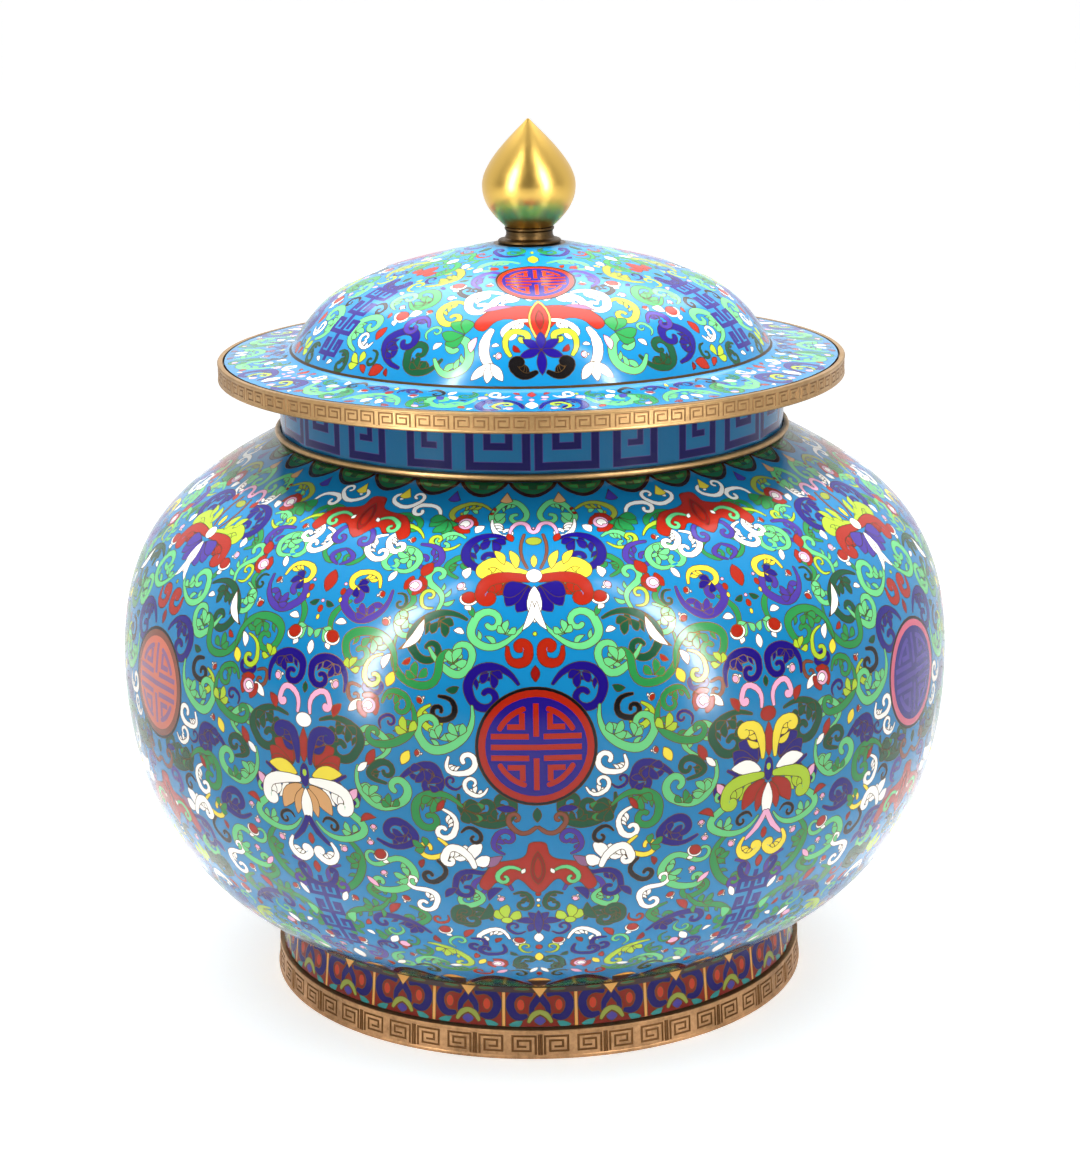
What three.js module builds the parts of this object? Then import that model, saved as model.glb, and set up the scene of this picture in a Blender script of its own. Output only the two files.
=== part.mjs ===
// Cloisonne lidded jar: a squat round vessel on a brass foot ring, with a
// straight neck, a wide-brimmed domed lid that lifts off, and a bud finial.
// Millimetres, +Z up, the origin on the table under the middle of the foot.

import * as THREE from 'three';

// Facets round every turned piece, and round the small finial
const facets = 48;
const finialFacets = 24;

// Clearance left between two pieces that touch
const seatGap = 0.3;

// Brass foot ring
const footRingHeight = 10.4;
const footRingProud = 1.5; // how far its top edge stands out from the foot band
const footRingFlare = 0.7; // how much wider it is at the table
const footRingWall = 5.2;

// Enamelled foot band, which is the foot of the vessel
const footBandHeight = 14.8;
const footBandTopRadius = 95;
const footBandFlare = 1.5; // how much wider it is at the foot ring
const footWall = 3;

// Vessel
const bellyRadius = 149.8;
const bellyRise = 95.4; // foot band to the widest circle
const shoulderRise = 81.9; // the widest circle to the neck
const vesselWall = 2.4;
const floorThickness = 2.6;
const footSpringAngle = THREE.MathUtils.degToRad(24.8);
const shoulderAngle = THREE.MathUtils.degToRad(27.5);
const vesselRings = { lower: 9, upper: 9 };

// Neck, and the gilt moulding at its base
const neckRadius = 90.5;
const neckHeight = 26.2;
const neckRingHeight = 2.2;
const neckRingProud = 1.7;

// Lid
const lidWall = 2.2;
const brimOverhang = 21.5; // brass edge beyond the neck
const brimRise = 1.6; // how much the brim climbs towards the dome
const rimBandHeight = 6.8;
const rimBandWall = 1.9;
const domeInset = 4.5; // dome foot inside the neck's outer face
const domeRise = 36.4;
const domeFootAngle = THREE.MathUtils.degToRad(61);
const domeTopAngle = THREE.MathUtils.degToRad(11.8);
const coveWidth = 4.2;
const coveRise = 1.3;
const domeRings = 10;

// Locating collar under the lid, which drops into the mouth
const mouthClearance = 0.8;
const locatingCollarDepth = 9;
const locatingCollarWall = 2;

// Finial
const finialSeatRadius = 12.4;
const collarRadius = 8.8;
const collarHeight = 5.3;
const collarFootRadius = 11.2;
const collarFootHeight = 1.3;
const budRadius = 16.6;
const budFootRadius = 8.6;
const budBellyRise = 14.4; // underside of the bud to its widest circle
const budTipRise = 23.1; // the widest circle to the tip
const budRings = { lower: 6, upper: 7 };

// Heights and radii that follow from the sizes above
const vesselFootZ = footRingHeight + seatGap;
const bodyStartZ = vesselFootZ + footBandHeight;
const bellyZ = bodyStartZ + bellyRise;
const neckBaseZ = bellyZ + shoulderRise;
const mouthZ = neckBaseZ + neckHeight;
const neckInnerRadius = neckRadius - vesselWall;
const footInnerRadius = footBandTopRadius - footWall;

const rimOuterRadius = neckRadius + brimOverhang;
const brimRadius = rimOuterRadius - rimBandWall - seatGap;
const domeFootRadius = neckRadius - domeInset;
const coveRadius = domeFootRadius + coveWidth;
const brimSlope = brimRise / (brimRadius - coveRadius);
const brimEdgeUnderZ = mouthZ + seatGap - brimSlope * (brimRadius - neckRadius);
const brimEdgeTopZ = brimEdgeUnderZ + lidWall;
const brimTopAtCoveZ = brimEdgeTopZ + brimRise;
const domeFootZ = brimTopAtCoveZ + coveRise;
const domeTopZ = domeFootZ + domeRise;
const collarBaseZ = domeTopZ + seatGap;
const budBaseZ = collarBaseZ + collarHeight + seatGap;

const point = (r, z) => new THREE.Vector2(r, z);

// A cubic arc between two points. Each end leaves along its direction (an
// angle above the horizontal, outwards) for a share of the span it covers.
function arcPoints(start, startAngle, startPull, end, endAngle, endPull, count) {
  const curve = new THREE.CubicBezierCurve(
    start,
    point(start.x + startPull * Math.cos(startAngle), start.y + startPull * Math.sin(startAngle)),
    point(end.x + endPull * Math.cos(endAngle), end.y + endPull * Math.sin(endAngle)),
    end,
  );
  return curve.getPoints(count);
}

// The same outline moved sideways by a wall thickness, to the left of travel.
function offsetPoints(points, distance) {
  return points.map((here, i) => {
    const before = points[Math.max(i - 1, 0)];
    const after = points[Math.min(i + 1, points.length - 1)];
    const along = after.clone().sub(before).normalize();
    return point(here.x - along.y * distance, here.y + along.x * distance);
  });
}

// A turned solid from its outline, which runs from the bottom outside upwards
// and comes back down inside, closing on itself or on the axis.
function turned(outline, segments) {
  const closes = outline[0].x > 0;
  const loop = closes ? [...outline, outline[0].clone()] : outline;
  return new THREE.LatheGeometry(loop, segments);
}

const enamelFinish = { color: 0x2a8fc4, roughness: 0.12, metalness: 0 };
const brassFinish = { color: 0xa87b42, roughness: 0.38, metalness: 1 };
const darkBrassFinish = { color: 0x7d5a35, roughness: 0.45, metalness: 1 };
const giltFinish = { color: 0xd9a637, roughness: 0.22, metalness: 1 };

function piece(name, geometry, finish) {
  const stood = geometry.rotateX(Math.PI / 2); // LatheGeometry turns about Y
  const mesh = new THREE.Mesh(stood, new THREE.MeshStandardMaterial(finish));
  mesh.name = name;
  return mesh;
}

// Foot ring: a brass band with a thin bead along its top and bottom edges
function footRing() {
  const topRadius = footBandTopRadius + footBandFlare + footRingProud;
  const baseRadius = topRadius + footRingFlare;
  const bead = 0.5;
  const beadHeight = 1;
  const sideRadius = (z) => baseRadius - (footRingFlare * z) / footRingHeight;
  const outline = [
    point(baseRadius - footRingWall, 0),
    point(baseRadius, 0),
    point(sideRadius(beadHeight), beadHeight),
    point(sideRadius(beadHeight) - bead, beadHeight + bead),
    point(sideRadius(footRingHeight - beadHeight) - bead, footRingHeight - beadHeight - bead),
    point(sideRadius(footRingHeight - beadHeight), footRingHeight - beadHeight),
    point(topRadius, footRingHeight),
    point(topRadius - footRingWall, footRingHeight),
  ];
  return turned(outline, facets);
}

// Vessel: foot band, body and neck outside, the same wall inside, and a floor
function jarBody() {
  const start = point(footBandTopRadius, bodyStartZ);
  const belly = point(bellyRadius, bellyZ);
  const neckBase = point(neckRadius, neckBaseZ);
  const lower = arcPoints(
    start, footSpringAngle, 0.66 * (bellyRadius - footBandTopRadius),
    belly, -Math.PI / 2, 0.522 * bellyRise, vesselRings.lower,
  );
  const upper = arcPoints(
    belly, Math.PI / 2, 0.587 * shoulderRise,
    neckBase, -shoulderAngle, 0.735 * (bellyRadius - neckRadius), vesselRings.upper,
  );
  const outside = [...lower, ...upper.slice(1)];
  const inside = offsetPoints(outside, vesselWall);
  const floorZ = inside[0].y;
  const neckInside = point(neckInnerRadius, inside.at(-1).y);
  const outline = [
    point(0, floorZ - floorThickness),
    point(footInnerRadius, floorZ - floorThickness),
    point(footInnerRadius, vesselFootZ),
    point(footBandTopRadius + footBandFlare, vesselFootZ),
    ...outside,
    point(neckRadius, mouthZ),
    point(neckInnerRadius, mouthZ),
    neckInside,
    ...inside.slice(1, -1).reverse(),
    point(inside[0].x, floorZ),
    point(0, floorZ),
  ];
  return turned(outline, facets);
}

// Gilt moulding round the base of the neck, with a rounded outer face
function neckRing() {
  const inner = neckRadius + seatGap;
  const base = neckBaseZ + seatGap;
  const half = neckRingHeight / 2;
  const bulge = [];
  const steps = 4;
  for (let i = 0; i <= steps; i += 1) {
    const turn = -Math.PI / 2 + (Math.PI * i) / steps;
    bulge.push(point(
      inner + neckRingProud * (0.4 + 0.6 * Math.cos(turn)),
      base + half + half * Math.sin(turn),
    ));
  }
  return turned([point(inner, base), ...bulge, point(inner, base + neckRingHeight)], facets);
}

// Brass edge round the lid's brim, a short skirt that hangs past the mouth
function lidRimBand() {
  const top = brimEdgeTopZ;
  const base = top - rimBandHeight;
  const inner = rimOuterRadius - rimBandWall;
  const bevel = 0.4;
  const outline = [
    point(inner, base),
    point(rimOuterRadius - bevel, base),
    point(rimOuterRadius, base + bevel),
    point(rimOuterRadius, top - bevel),
    point(rimOuterRadius - bevel, top),
    point(inner, top),
  ];
  return turned(outline, facets);
}

// Lid: locating collar, sloping brim, a small cove, and the dome, all one shell
function lid() {
  const domeSpan = domeFootRadius - finialSeatRadius;
  const dome = arcPoints(
    point(domeFootRadius, domeFootZ), Math.PI - domeFootAngle, 0.747 * domeRise,
    point(finialSeatRadius, domeTopZ), -domeTopAngle, 0.623 * domeSpan, domeRings,
  );
  const domeInside = offsetPoints(dome, lidWall);
  const cove = new THREE.QuadraticBezierCurve(
    point(coveRadius, brimTopAtCoveZ),
    point(domeFootRadius + coveRise / Math.tan(domeFootAngle), brimTopAtCoveZ),
    dome[0],
  ).getPoints(3);
  const collarOuter = neckInnerRadius - mouthClearance;
  const collarInner = collarOuter - locatingCollarWall;
  const underZ = (r) => brimEdgeUnderZ + brimSlope * (brimRadius - r);
  const collarBottomZ = underZ(collarOuter) - locatingCollarDepth;
  const outline = [
    point(0, domeTopZ - lidWall),
    point(domeInside.at(-1).x, domeTopZ - lidWall),
    ...domeInside.slice(0, -1).reverse(),
    point(collarInner, underZ(collarInner)),
    point(collarInner, collarBottomZ),
    point(collarOuter, collarBottomZ),
    point(collarOuter, underZ(collarOuter)),
    point(brimRadius, brimEdgeUnderZ),
    point(brimRadius, brimEdgeTopZ),
    ...cove.slice(0, -1),
    ...dome,
    point(0, domeTopZ),
  ];
  return turned(outline, facets);
}

// Finial collar: a short turned brass sleeve on a small foot
function finialCollar() {
  const waist = collarRadius * 0.94;
  const top = collarBaseZ + collarHeight;
  const outline = [
    point(0, collarBaseZ),
    point(collarFootRadius, collarBaseZ),
    point(collarFootRadius, collarBaseZ + collarFootHeight * 0.5),
    point(collarRadius, collarBaseZ + collarFootHeight),
    point(waist, collarBaseZ + (collarFootHeight + collarHeight) / 2),
    point(collarRadius, top),
    point(0, top),
  ];
  return turned(outline, finialFacets);
}

// Finial: a smooth pointed bud
function finialBud() {
  const base = point(budFootRadius, budBaseZ);
  const belly = point(budRadius, budBaseZ + budBellyRise);
  const tip = point(0, budBaseZ + budBellyRise + budTipRise);
  const lower = arcPoints(
    base, THREE.MathUtils.degToRad(42), 0.8 * (budRadius - budFootRadius),
    belly, -Math.PI / 2, 0.42 * budBellyRise, budRings.lower,
  );
  const upper = arcPoints(
    belly, Math.PI / 2, 0.36 * budTipRise,
    tip, THREE.MathUtils.degToRad(-47), 0.4 * budRadius, budRings.upper,
  );
  return turned([point(0, budBaseZ), ...lower, ...upper.slice(1)], finialFacets);
}

const jar = new THREE.Group();
jar.add(
  piece('foot_ring', footRing(), darkBrassFinish),
  piece('jar_body', jarBody(), enamelFinish),
  piece('neck_ring', neckRing(), giltFinish),
  piece('lid_rim_band', lidRimBand(), brassFinish),
  piece('lid', lid(), enamelFinish),
  piece('finial_collar', finialCollar(), darkBrassFinish),
  piece('finial_bud', finialBud(), giltFinish),
);

export default jar;
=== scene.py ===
# Cloisonne lidded jar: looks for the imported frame. Metres, +Z up, the viewer on -Y.
import math

import bpy
import numpy as np
from mathutils import Matrix, Vector
from mathutils.kdtree import KDTree
from mathutils.geometry import delaunay_2d_cdt


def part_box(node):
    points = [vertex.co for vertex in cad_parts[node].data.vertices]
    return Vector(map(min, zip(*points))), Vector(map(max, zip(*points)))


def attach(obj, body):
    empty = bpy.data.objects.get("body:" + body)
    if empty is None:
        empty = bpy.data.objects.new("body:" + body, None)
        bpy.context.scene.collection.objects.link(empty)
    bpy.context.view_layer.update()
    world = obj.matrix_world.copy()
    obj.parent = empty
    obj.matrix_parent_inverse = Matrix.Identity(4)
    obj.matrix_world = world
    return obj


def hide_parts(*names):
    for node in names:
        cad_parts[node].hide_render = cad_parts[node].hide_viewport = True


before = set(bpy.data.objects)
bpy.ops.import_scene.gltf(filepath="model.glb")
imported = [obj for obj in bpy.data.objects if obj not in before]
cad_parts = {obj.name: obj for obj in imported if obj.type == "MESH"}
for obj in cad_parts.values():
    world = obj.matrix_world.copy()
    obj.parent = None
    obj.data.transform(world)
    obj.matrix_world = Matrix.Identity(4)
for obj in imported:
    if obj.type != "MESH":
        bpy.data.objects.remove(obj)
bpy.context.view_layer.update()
print("frame loaded")

mm = 0.001
sideCount = 12  # mirrored half repeats round the vessel
sideAngle = 360 / sideCount


# Outlines of the turned shapes, as (radius, height) in millimetres

def boxTop(node):
    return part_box(node)[1][2] / mm


def boxBottom(node):
    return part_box(node)[0][2] / mm


def boxRadius(node):
    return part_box(node)[1][0] / mm


jar = {
    "bellyRadius": boxRadius("jar_body"),
    "mouthHeight": boxTop("jar_body"),
    "footBandBottom": boxBottom("jar_body"),
    "footBandTop": boxBottom("jar_body") + 14.8,
    "footBandRadius": 95.0,
    "footBandFlare": 1.5,
    "bellyRise": 95.4,
    "neckHeight": 26.2,
    "neckRadius": 90.5,
    "wall": 2.4,
    "floorRise": 2.12,  # of the floor's top over the foot band
    "floorThickness": 2.6,
    "footWall": 3.0,
    "footAngle": 24.8,
    "shoulderAngle": 27.5,
}

lid = {
    "brimRadius": boxRadius("lid"),
    "rimRadius": boxRadius("lid_rim_band"),
    "rimTop": boxTop("lid_rim_band"),
    "rimBottom": boxBottom("lid_rim_band"),
    "domeTop": boxTop("lid"),
    "collarBottom": boxBottom("lid"),
    "wall": 2.2,
    "brimRise": 1.6,
    "domeRadius": 86.0,
    "domeRise": 36.4,
    "coveWidth": 4.2,
    "seatRadius": 12.4,
    "footAngle": 61.0,
    "topAngle": 11.8,
    "collarRadius": 87.3,
    "collarWall": 2.0,
}


def unit(rows):
    return rows / np.maximum(np.linalg.norm(rows, axis=-1, keepdims=True), 1e-9)


def leftOf(way):
    return np.stack([-way[..., 1], way[..., 0]], -1)


def runLength(points):
    return np.concatenate([[0], np.cumsum(np.linalg.norm(np.diff(points, axis=0), axis=1))])


def arcPoints(start, startAngle, startPull, end, endAngle, endPull, count):
    a, b = math.radians(startAngle), math.radians(endAngle)
    p0 = np.array(start, float)
    p3 = np.array(end, float)
    p1 = p0 + startPull * np.array([math.cos(a), math.sin(a)])
    p2 = p3 + endPull * np.array([math.cos(b), math.sin(b)])
    t = np.linspace(0, 1, count + 1)[:, None]
    return (1 - t) ** 3 * p0 + 3 * (1 - t) ** 2 * t * p1 + 3 * (1 - t) * t ** 2 * p2 + t ** 3 * p3


def offsetOutline(points, distance):
    return points + distance * leftOf(unit(np.gradient(points, axis=0)))


def turned(degrees, r, z):
    angle = np.radians(degrees)
    return np.stack([r * np.sin(angle), -r * np.cos(angle), z], -1)


class Meridian:
    # A smooth outline measured along its length, from which a surface is turned

    def __init__(self, points):
        self.points = np.array(points, float)
        self.along = runLength(self.points)
        self.length = self.along[-1]
        self.out = -leftOf(unit(np.gradient(self.points, self.along, axis=0)))

    def radius(self, s):
        return np.interp(s, self.along, self.points[:, 0])

    def place(self, degrees, s, lift=0.0):
        # Where a spot of the surface is, in metres, and its normal
        r, z, nr, nz = (np.interp(s, self.along, column) for column in (*self.points.T, *self.out.T))
        size = np.hypot(nr, nz)
        nr, nz = nr / size, nz / size
        return turned(degrees, r + lift * nr, z + lift * nz) * mm, turned(degrees, nr, nz)


def bellyOutline(count):
    foot = (jar["footBandRadius"], jar["footBandTop"])
    widest = (jar["bellyRadius"], jar["footBandTop"] + jar["bellyRise"])
    neck = (jar["neckRadius"], jar["mouthHeight"] - jar["neckHeight"])
    lower = arcPoints(foot, jar["footAngle"], 0.66 * (widest[0] - foot[0]),
                      widest, -90, 0.522 * jar["bellyRise"], count)
    upper = arcPoints(widest, 90, 0.587 * (neck[1] - widest[1]),
                      neck, -jar["shoulderAngle"], 0.735 * (widest[0] - neck[0]), count)
    return np.concatenate([lower, upper[1:]])


def domeOutline(count):
    foot = (lid["domeRadius"], lid["domeTop"] - lid["domeRise"])
    top = (lid["seatRadius"], lid["domeTop"])
    return arcPoints(foot, 180 - lid["footAngle"], 0.747 * lid["domeRise"],
                     top, -lid["topAngle"], 0.623 * (foot[0] - top[0]), count)


belly = Meridian(bellyOutline(160))
dome = Meridian(domeOutline(120))


# Colours of the enamels and metals, as seen on the jar

enamelColours = {
    "ground": "106e9e",
    # the neck's blue ground and its own dark navy bars, both darkened further as painted shade from the
    # lid's brim over the neck
    "neckGround": "156590",
    "neckNavy": "0b0550",
    "neckWire": "3b2f78",
    "white": "e6e4dc",
    "pink": "d69cb8",
    "rose": "b9566c",
    "terracotta": "b9604a",
    "mauve": "7d5577",
    "red": "921e0c",
    "crimson": "7d120d",
    "bandRed": "7c1f10",
    "bandBright": "b8371b",
    "bandNavy": "15095c",
    "amber": "d99a45",
    "yellow": "dac634",
    "lime": "9ab528",
    "olive": "86902a",
    "mint": "5cb470",
    "green": "237c3d",
    "darkGreen": "0e452a",
    "teal": "1c8481",
    "navy": "190c6a",
    "fretField": "1d0f6c",
    "violet": "3f2c84",
    "violetDark": "1d1068",
    "black": "100e0e",
    "brown": "74402f",
    "peach": "c0905c",
    # the lappets' own dark green, made darker still as painted shade, as the upper row lies in the brim's
    # shadow
    "lappet": "1d5a35",
    "lappetEdge": "2c120e",
    "inside": "3a93b8",
}


def toLinear(code):
    values = [int(code[i:i + 2], 16) / 255 for i in (0, 2, 4)]
    return [v / 12.92 if v <= 0.04045 else ((v + 0.055) / 1.055) ** 2.4 for v in values]


# Shader nodes: a wrapped socket carries its own maths

class Sock:
    def __init__(self, tree, socket):
        self.tree = tree
        self.socket = socket

    def math(self, operation, first, second):
        made = self.tree.nodes.new("ShaderNodeMath")
        made.operation = operation
        feed(made.inputs[0], first)
        feed(made.inputs[1], second)
        return Sock(self.tree, made.outputs[0])

    def __add__(self, other):
        return self.math("ADD", self, other)

    def __radd__(self, other):
        return self.math("ADD", other, self)

    def __sub__(self, other):
        return self.math("SUBTRACT", self, other)

    def __rsub__(self, other):
        return self.math("SUBTRACT", other, self)

    def __mul__(self, other):
        return self.math("MULTIPLY", self, other)

    def __rmul__(self, other):
        return self.math("MULTIPLY", other, self)


def feed(slot, value):
    if isinstance(value, Sock):
        value.tree.links.new(value.socket, slot)
    else:
        slot.default_value = value


class Graph:
    # A node tree, and one way to add any node to it

    def __init__(self, tree):
        self.tree = tree

    def node(self, kind, settings, sockets, out=0):
        made = self.tree.nodes.new("ShaderNode" + kind)
        for key, value in settings.items():
            setattr(made, key, value)
        for key, value in sockets.items():
            feed(made.inputs[key], value)
        return Sock(self.tree, made.outputs[out]) if len(made.outputs) else None

    def noise(self, scale, detail=3.0, rough=0.5, where=None):
        where = where or self.node("TexCoord", {}, {}, "Object")
        return self.node("TexNoise", {}, {"Vector": where, "Scale": scale, "Detail": detail,
                                          "Roughness": rough}, "Fac")


class Finish(Graph):
    # One material and its Principled shader

    def __init__(self, name):
        self.material = bpy.data.materials.new(name)
        self.material.use_nodes = True
        super().__init__(self.material.node_tree)
        self.shader = self.tree.nodes["Principled BSDF"]

    def set(self, **values):
        for key, value in values.items():
            feed(self.shader.inputs[key.replace("_", " ")], value)

    def bump(self, height, strength, distance):
        self.set(Normal=self.node("Bump", {}, {"Strength": strength, "Distance": distance,
                                               "Height": height}))

    def metal(self, colour, roughness):
        self.set(Base_Color=colour, Metallic=1.0, IOR=1.5, Roughness=roughness)


enamelLook = {
    "roughness": 0.17,
    "roughnessSpread": 0.10,
    "coat": 0.07,
    "specular": 0.31,
    "waviness": 0.00005,
    "dull": ["neckGround", "neckNavy", "bandRed", "bandNavy", "bandBright"],
    "dullSheen": 0.45,  # share of the sheen that the dull colours keep
}


def enamelFinish(name, code):
    made = Finish("enamel_" + name)
    sheen = enamelLook["dullSheen"] if name in enamelLook["dull"] else 1.0
    wave = made.noise(28.0, 2.0)
    grain = made.noise(900.0, 3.0, 0.6)
    made.set(
        Base_Color=toLinear(code) + [1.0],
        Roughness=enamelLook["roughness"] + (grain - 0.5) * enamelLook["roughnessSpread"],
        Coat_Weight=enamelLook["coat"] * sheen,
        Coat_Roughness=0.04,
        Specular_IOR_Level=enamelLook["specular"] * sheen,
        IOR=1.45,
    )
    made.bump(wave + grain * 0.25, 0.6, enamelLook["waviness"])
    return made.material


metalLook = {
    "wire": {"colour": "4f3a20", "roughness": 0.38},
    "gilt": {"colour": "d9b25a", "roughness": 0.31},
    "rimBrass": {"colour": "b39062", "roughness": 0.34, "stain": 0.35, "stainScale": 50, "lines": 30},
    "rimRecess": {"colour": "876643", "roughness": 0.45, "stain": 0.3, "stainScale": 60, "lines": 10},
    "footBrass": {"colour": "bf9368", "roughness": 0.40, "stain": 0.55, "stainScale": 45, "lines": 30},
    "footRecess": {"colour": "7a5736", "roughness": 0.5, "stain": 0.3, "stainScale": 60, "lines": 10},
    "collarBrass": {"colour": "5b462a", "roughness": 0.36, "stain": 0.6, "stainScale": 60, "lines": 20},
}


def wireFinish():
    look = metalLook["wire"]
    made = Finish("gilt_wire")
    made.metal(toLinear(look["colour"]) + [1.0], look["roughness"] + (made.noise(700.0) - 0.5) * 0.2)
    return made.material


def giltFinish():
    look = metalLook["gilt"]
    made = Finish("metal_gilt")
    soft = made.noise(30.0, 4.0)
    fine = made.noise(420.0, 3.0, 0.6)
    made.metal(toLinear(look["colour"]) + [1.0],
               look["roughness"] + (soft - 0.5) * 0.12 + (fine - 0.5) * 0.1)
    made.bump(soft + fine * 0.2, 0.4, 0.00006)
    return made.material


def brassFinish(name):
    # Turned brass, stained in clouds and finely lined round the axis
    look = metalLook[name]
    made = Finish("metal_" + name)
    base = toLinear(look["colour"])
    stained = [v * (1 - look["stain"]) for v in base]
    cloud = made.noise(look["stainScale"], 5.0, 0.6)
    speck = made.noise(look["stainScale"] * 9, 2.0, 0.7)
    stretched = made.node("Mapping", {"vector_type": "POINT"}, {
        "Vector": made.node("TexCoord", {}, {}, "Object"), "Scale": (1.0, 1.0, look["lines"])})
    lines = made.noise(140.0, 3.0, 0.6, stretched)
    worn = made.node("MapRange", {"clamp": True}, {
        "Value": cloud * 0.8 + speck * 0.35, "From Min": 0.42, "From Max": 0.72,
        "To Min": 0.0, "To Max": 1.0})
    tint = made.node("Mix", {"data_type": "RGBA"}, {0: worn, 6: stained + [1.0], 7: base + [1.0]}, 2)
    made.metal(tint, look["roughness"] + (1 - worn) * 0.16 + (lines - 0.5) * 0.14)
    made.bump(lines * 0.5 + cloud * 0.5, 0.5, 0.00006)
    return made.material


# Meshes are gathered in one shell for each piece, then welded

weldStep = 2e-7


def ringAt(point, segments=96):
    # A ring for crisp bands, which work out their own normals
    angles = np.arange(segments) * 360 / segments
    at = turned(angles, point[0], np.full(segments, float(point[1]))) * mm
    return angles, at, at


class Shell:
    def __init__(self):
        self.parts = []
        self.count = 0
        self.slotNames = []

    def slot(self, name):
        if name not in self.slotNames:
            self.slotNames.append(name)
        return self.slotNames.index(name)

    def add(self, points, faces, slots, normals):
        # normals has one row for each point, or one for each face corner
        corner = normals[faces] if normals.ndim == 2 else normals
        self.parts.append((points, faces + self.count, slots, corner))
        self.count += len(points)

    def strip(self, ringA, ringB, slotName, crisp=True):
        # A band of triangles between two rings of any counts, B above A seen from outside
        (angleA, atA, normalA), (angleB, atB, normalB) = ringA, ringB
        na, nb = len(angleA), len(angleB)
        turnA, turnB = ([*angles, angles[0] + 360, 1e9] for angles in (angleA, angleB))
        faces = []
        i = j = 0
        while i < na or j < nb:
            if turnA[i + 1] <= turnB[j + 1]:
                faces.append((i % na, (i + 1) % na, na + j % nb))
                i += 1
            else:
                faces.append((i % na, na + (j + 1) % nb, na + j % nb))
                j += 1
        faces = np.array(faces)
        points = np.concatenate([atA, atB])
        normals = bandNormals(points, faces) if crisp else np.concatenate([normalA, normalB])
        self.add(points, faces, np.full(len(faces), self.slot(slotName)), normals)

    def chain(self, ring, outline, slotName="inside", segments=96):
        # Crisp bands from a ring through further points of an outline
        for point in outline:
            following = ringAt(point, segments)
            self.strip(ring, following, slotName)
            ring = following
        return ring

    def cap(self, ring, slotName, up):
        angles, at, _ = ring
        n = len(angles)
        points = np.concatenate([at, at.mean(axis=0)[None]])
        loop = np.arange(n)
        faces = np.stack([loop, (loop + 1) % n, np.full(n, n)], 1)
        if not up:
            faces = faces[:, ::-1]
        normals = np.tile([0, 0, 1.0 if up else -1.0], (len(points), 1))
        self.add(points, faces, np.full(n, self.slot(slotName)), normals)

    def build(self, name, finishes):
        points, faces, slots, normals = (np.concatenate(column) for column in zip(*self.parts))
        keys = np.round(points / weldStep).astype(np.int64)
        _, first, index = np.unique(keys, axis=0, return_index=True, return_inverse=True)
        points = points[first]
        faces = index.ravel()[faces]
        keep = (faces[:, 0] != faces[:, 1]) & (faces[:, 1] != faces[:, 2]) & (faces[:, 2] != faces[:, 0])
        faces, slots, normals = faces[keep], slots[keep], normals[keep]
        mesh = bpy.data.meshes.new(name)
        mesh.vertices.add(len(points))
        mesh.vertices.foreach_set("co", points.ravel())
        mesh.loops.add(len(faces) * 3)
        mesh.loops.foreach_set("vertex_index", faces.ravel().astype(np.int32))
        mesh.polygons.add(len(faces))
        mesh.polygons.foreach_set("loop_start", np.arange(len(faces), dtype=np.int32) * 3)
        mesh.polygons.foreach_set("material_index", slots.astype(np.int32))
        mesh.update(calc_edges=True)
        corner = normals.reshape(-1, 3)
        mesh.normals_split_custom_set((corner / np.linalg.norm(corner, axis=1)[:, None]).tolist())
        for used in self.slotNames:
            mesh.materials.append(finishes[used])
        made = bpy.data.objects.new(name, mesh)
        bpy.context.scene.collection.objects.link(made)
        print(name, "has", len(faces), "triangles")
        return made


def bandNormals(points, faces):
    # Crisp bands keep one slope round the jar: the face slope, turned to each corner's angle
    a, b, c = (points[faces[:, i]] for i in range(3))
    flat = np.cross(b - a, c - a)
    outward = (flat[:, :2] * unit(((a + b + c) / 3)[:, :2])).sum(1)
    size = np.hypot(outward, flat[:, 2])
    size[size == 0] = 1
    outward, rise = outward / size, flat[:, 2] / size
    return np.concatenate([unit(points[faces][:, :, :2]) * outward[:, None, None],
                           np.repeat(rise[:, None], 3, 1)[:, :, None]], 2)


# Drawing with wire and enamel: every outline is worked out in millimetres on the surface

wireWidth = 0.26
outlineError = 0.11
pathStep = 0.35


def simplify(points, error):
    # Keeps the fewest points that stay within the error of a closed outline
    far = int(np.argmax(((points - points[0]) ** 2).sum(1)))
    keep = np.zeros(len(points), bool)
    keep[[0, far]] = True
    ends = [(0, far), (far, len(points))]
    while ends:
        a, b = ends.pop()
        if b - a < 2:
            continue
        start, stop = points[a], points[b % len(points)]
        line = stop - start
        size = math.hypot(*line) or 1e-9
        inner = points[a + 1:b] - start
        away = np.abs(inner[:, 0] * line[1] - inner[:, 1] * line[0]) / size
        k = int(np.argmax(away))
        if away[k] > error:
            keep[a + 1 + k] = True
            ends += [(a, a + 1 + k), (a + 1 + k, b)]
    return points[keep]


def areaOf(points):
    x, y = points[:, 0], points[:, 1]
    return 0.5 * (x * np.roll(y, -1) - y * np.roll(x, -1)).sum()


def inset(points, distance):
    # The outline moved inwards, without the points that come too near another side
    side = leftOf(unit(np.roll(points, -1, 0) - points))
    middle = side + np.roll(side, 1, 0)
    middle /= np.maximum((middle * middle).sum(1) / 2, 0.35)[:, None]
    moved = points + middle * distance
    start, stop = points[None], np.roll(points, -1, 0)[None]
    line = stop - start
    away = moved[:, None] - start
    t = np.clip((away * line).sum(2) / np.maximum((line * line).sum(2), 1e-12), 0, 1)
    gap = np.linalg.norm(away - t[:, :, None] * line, axis=2).min(1)
    moved = moved[gap > 0.8 * distance]
    return moved if len(moved) > 2 and areaOf(moved) > 0.05 else None


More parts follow.
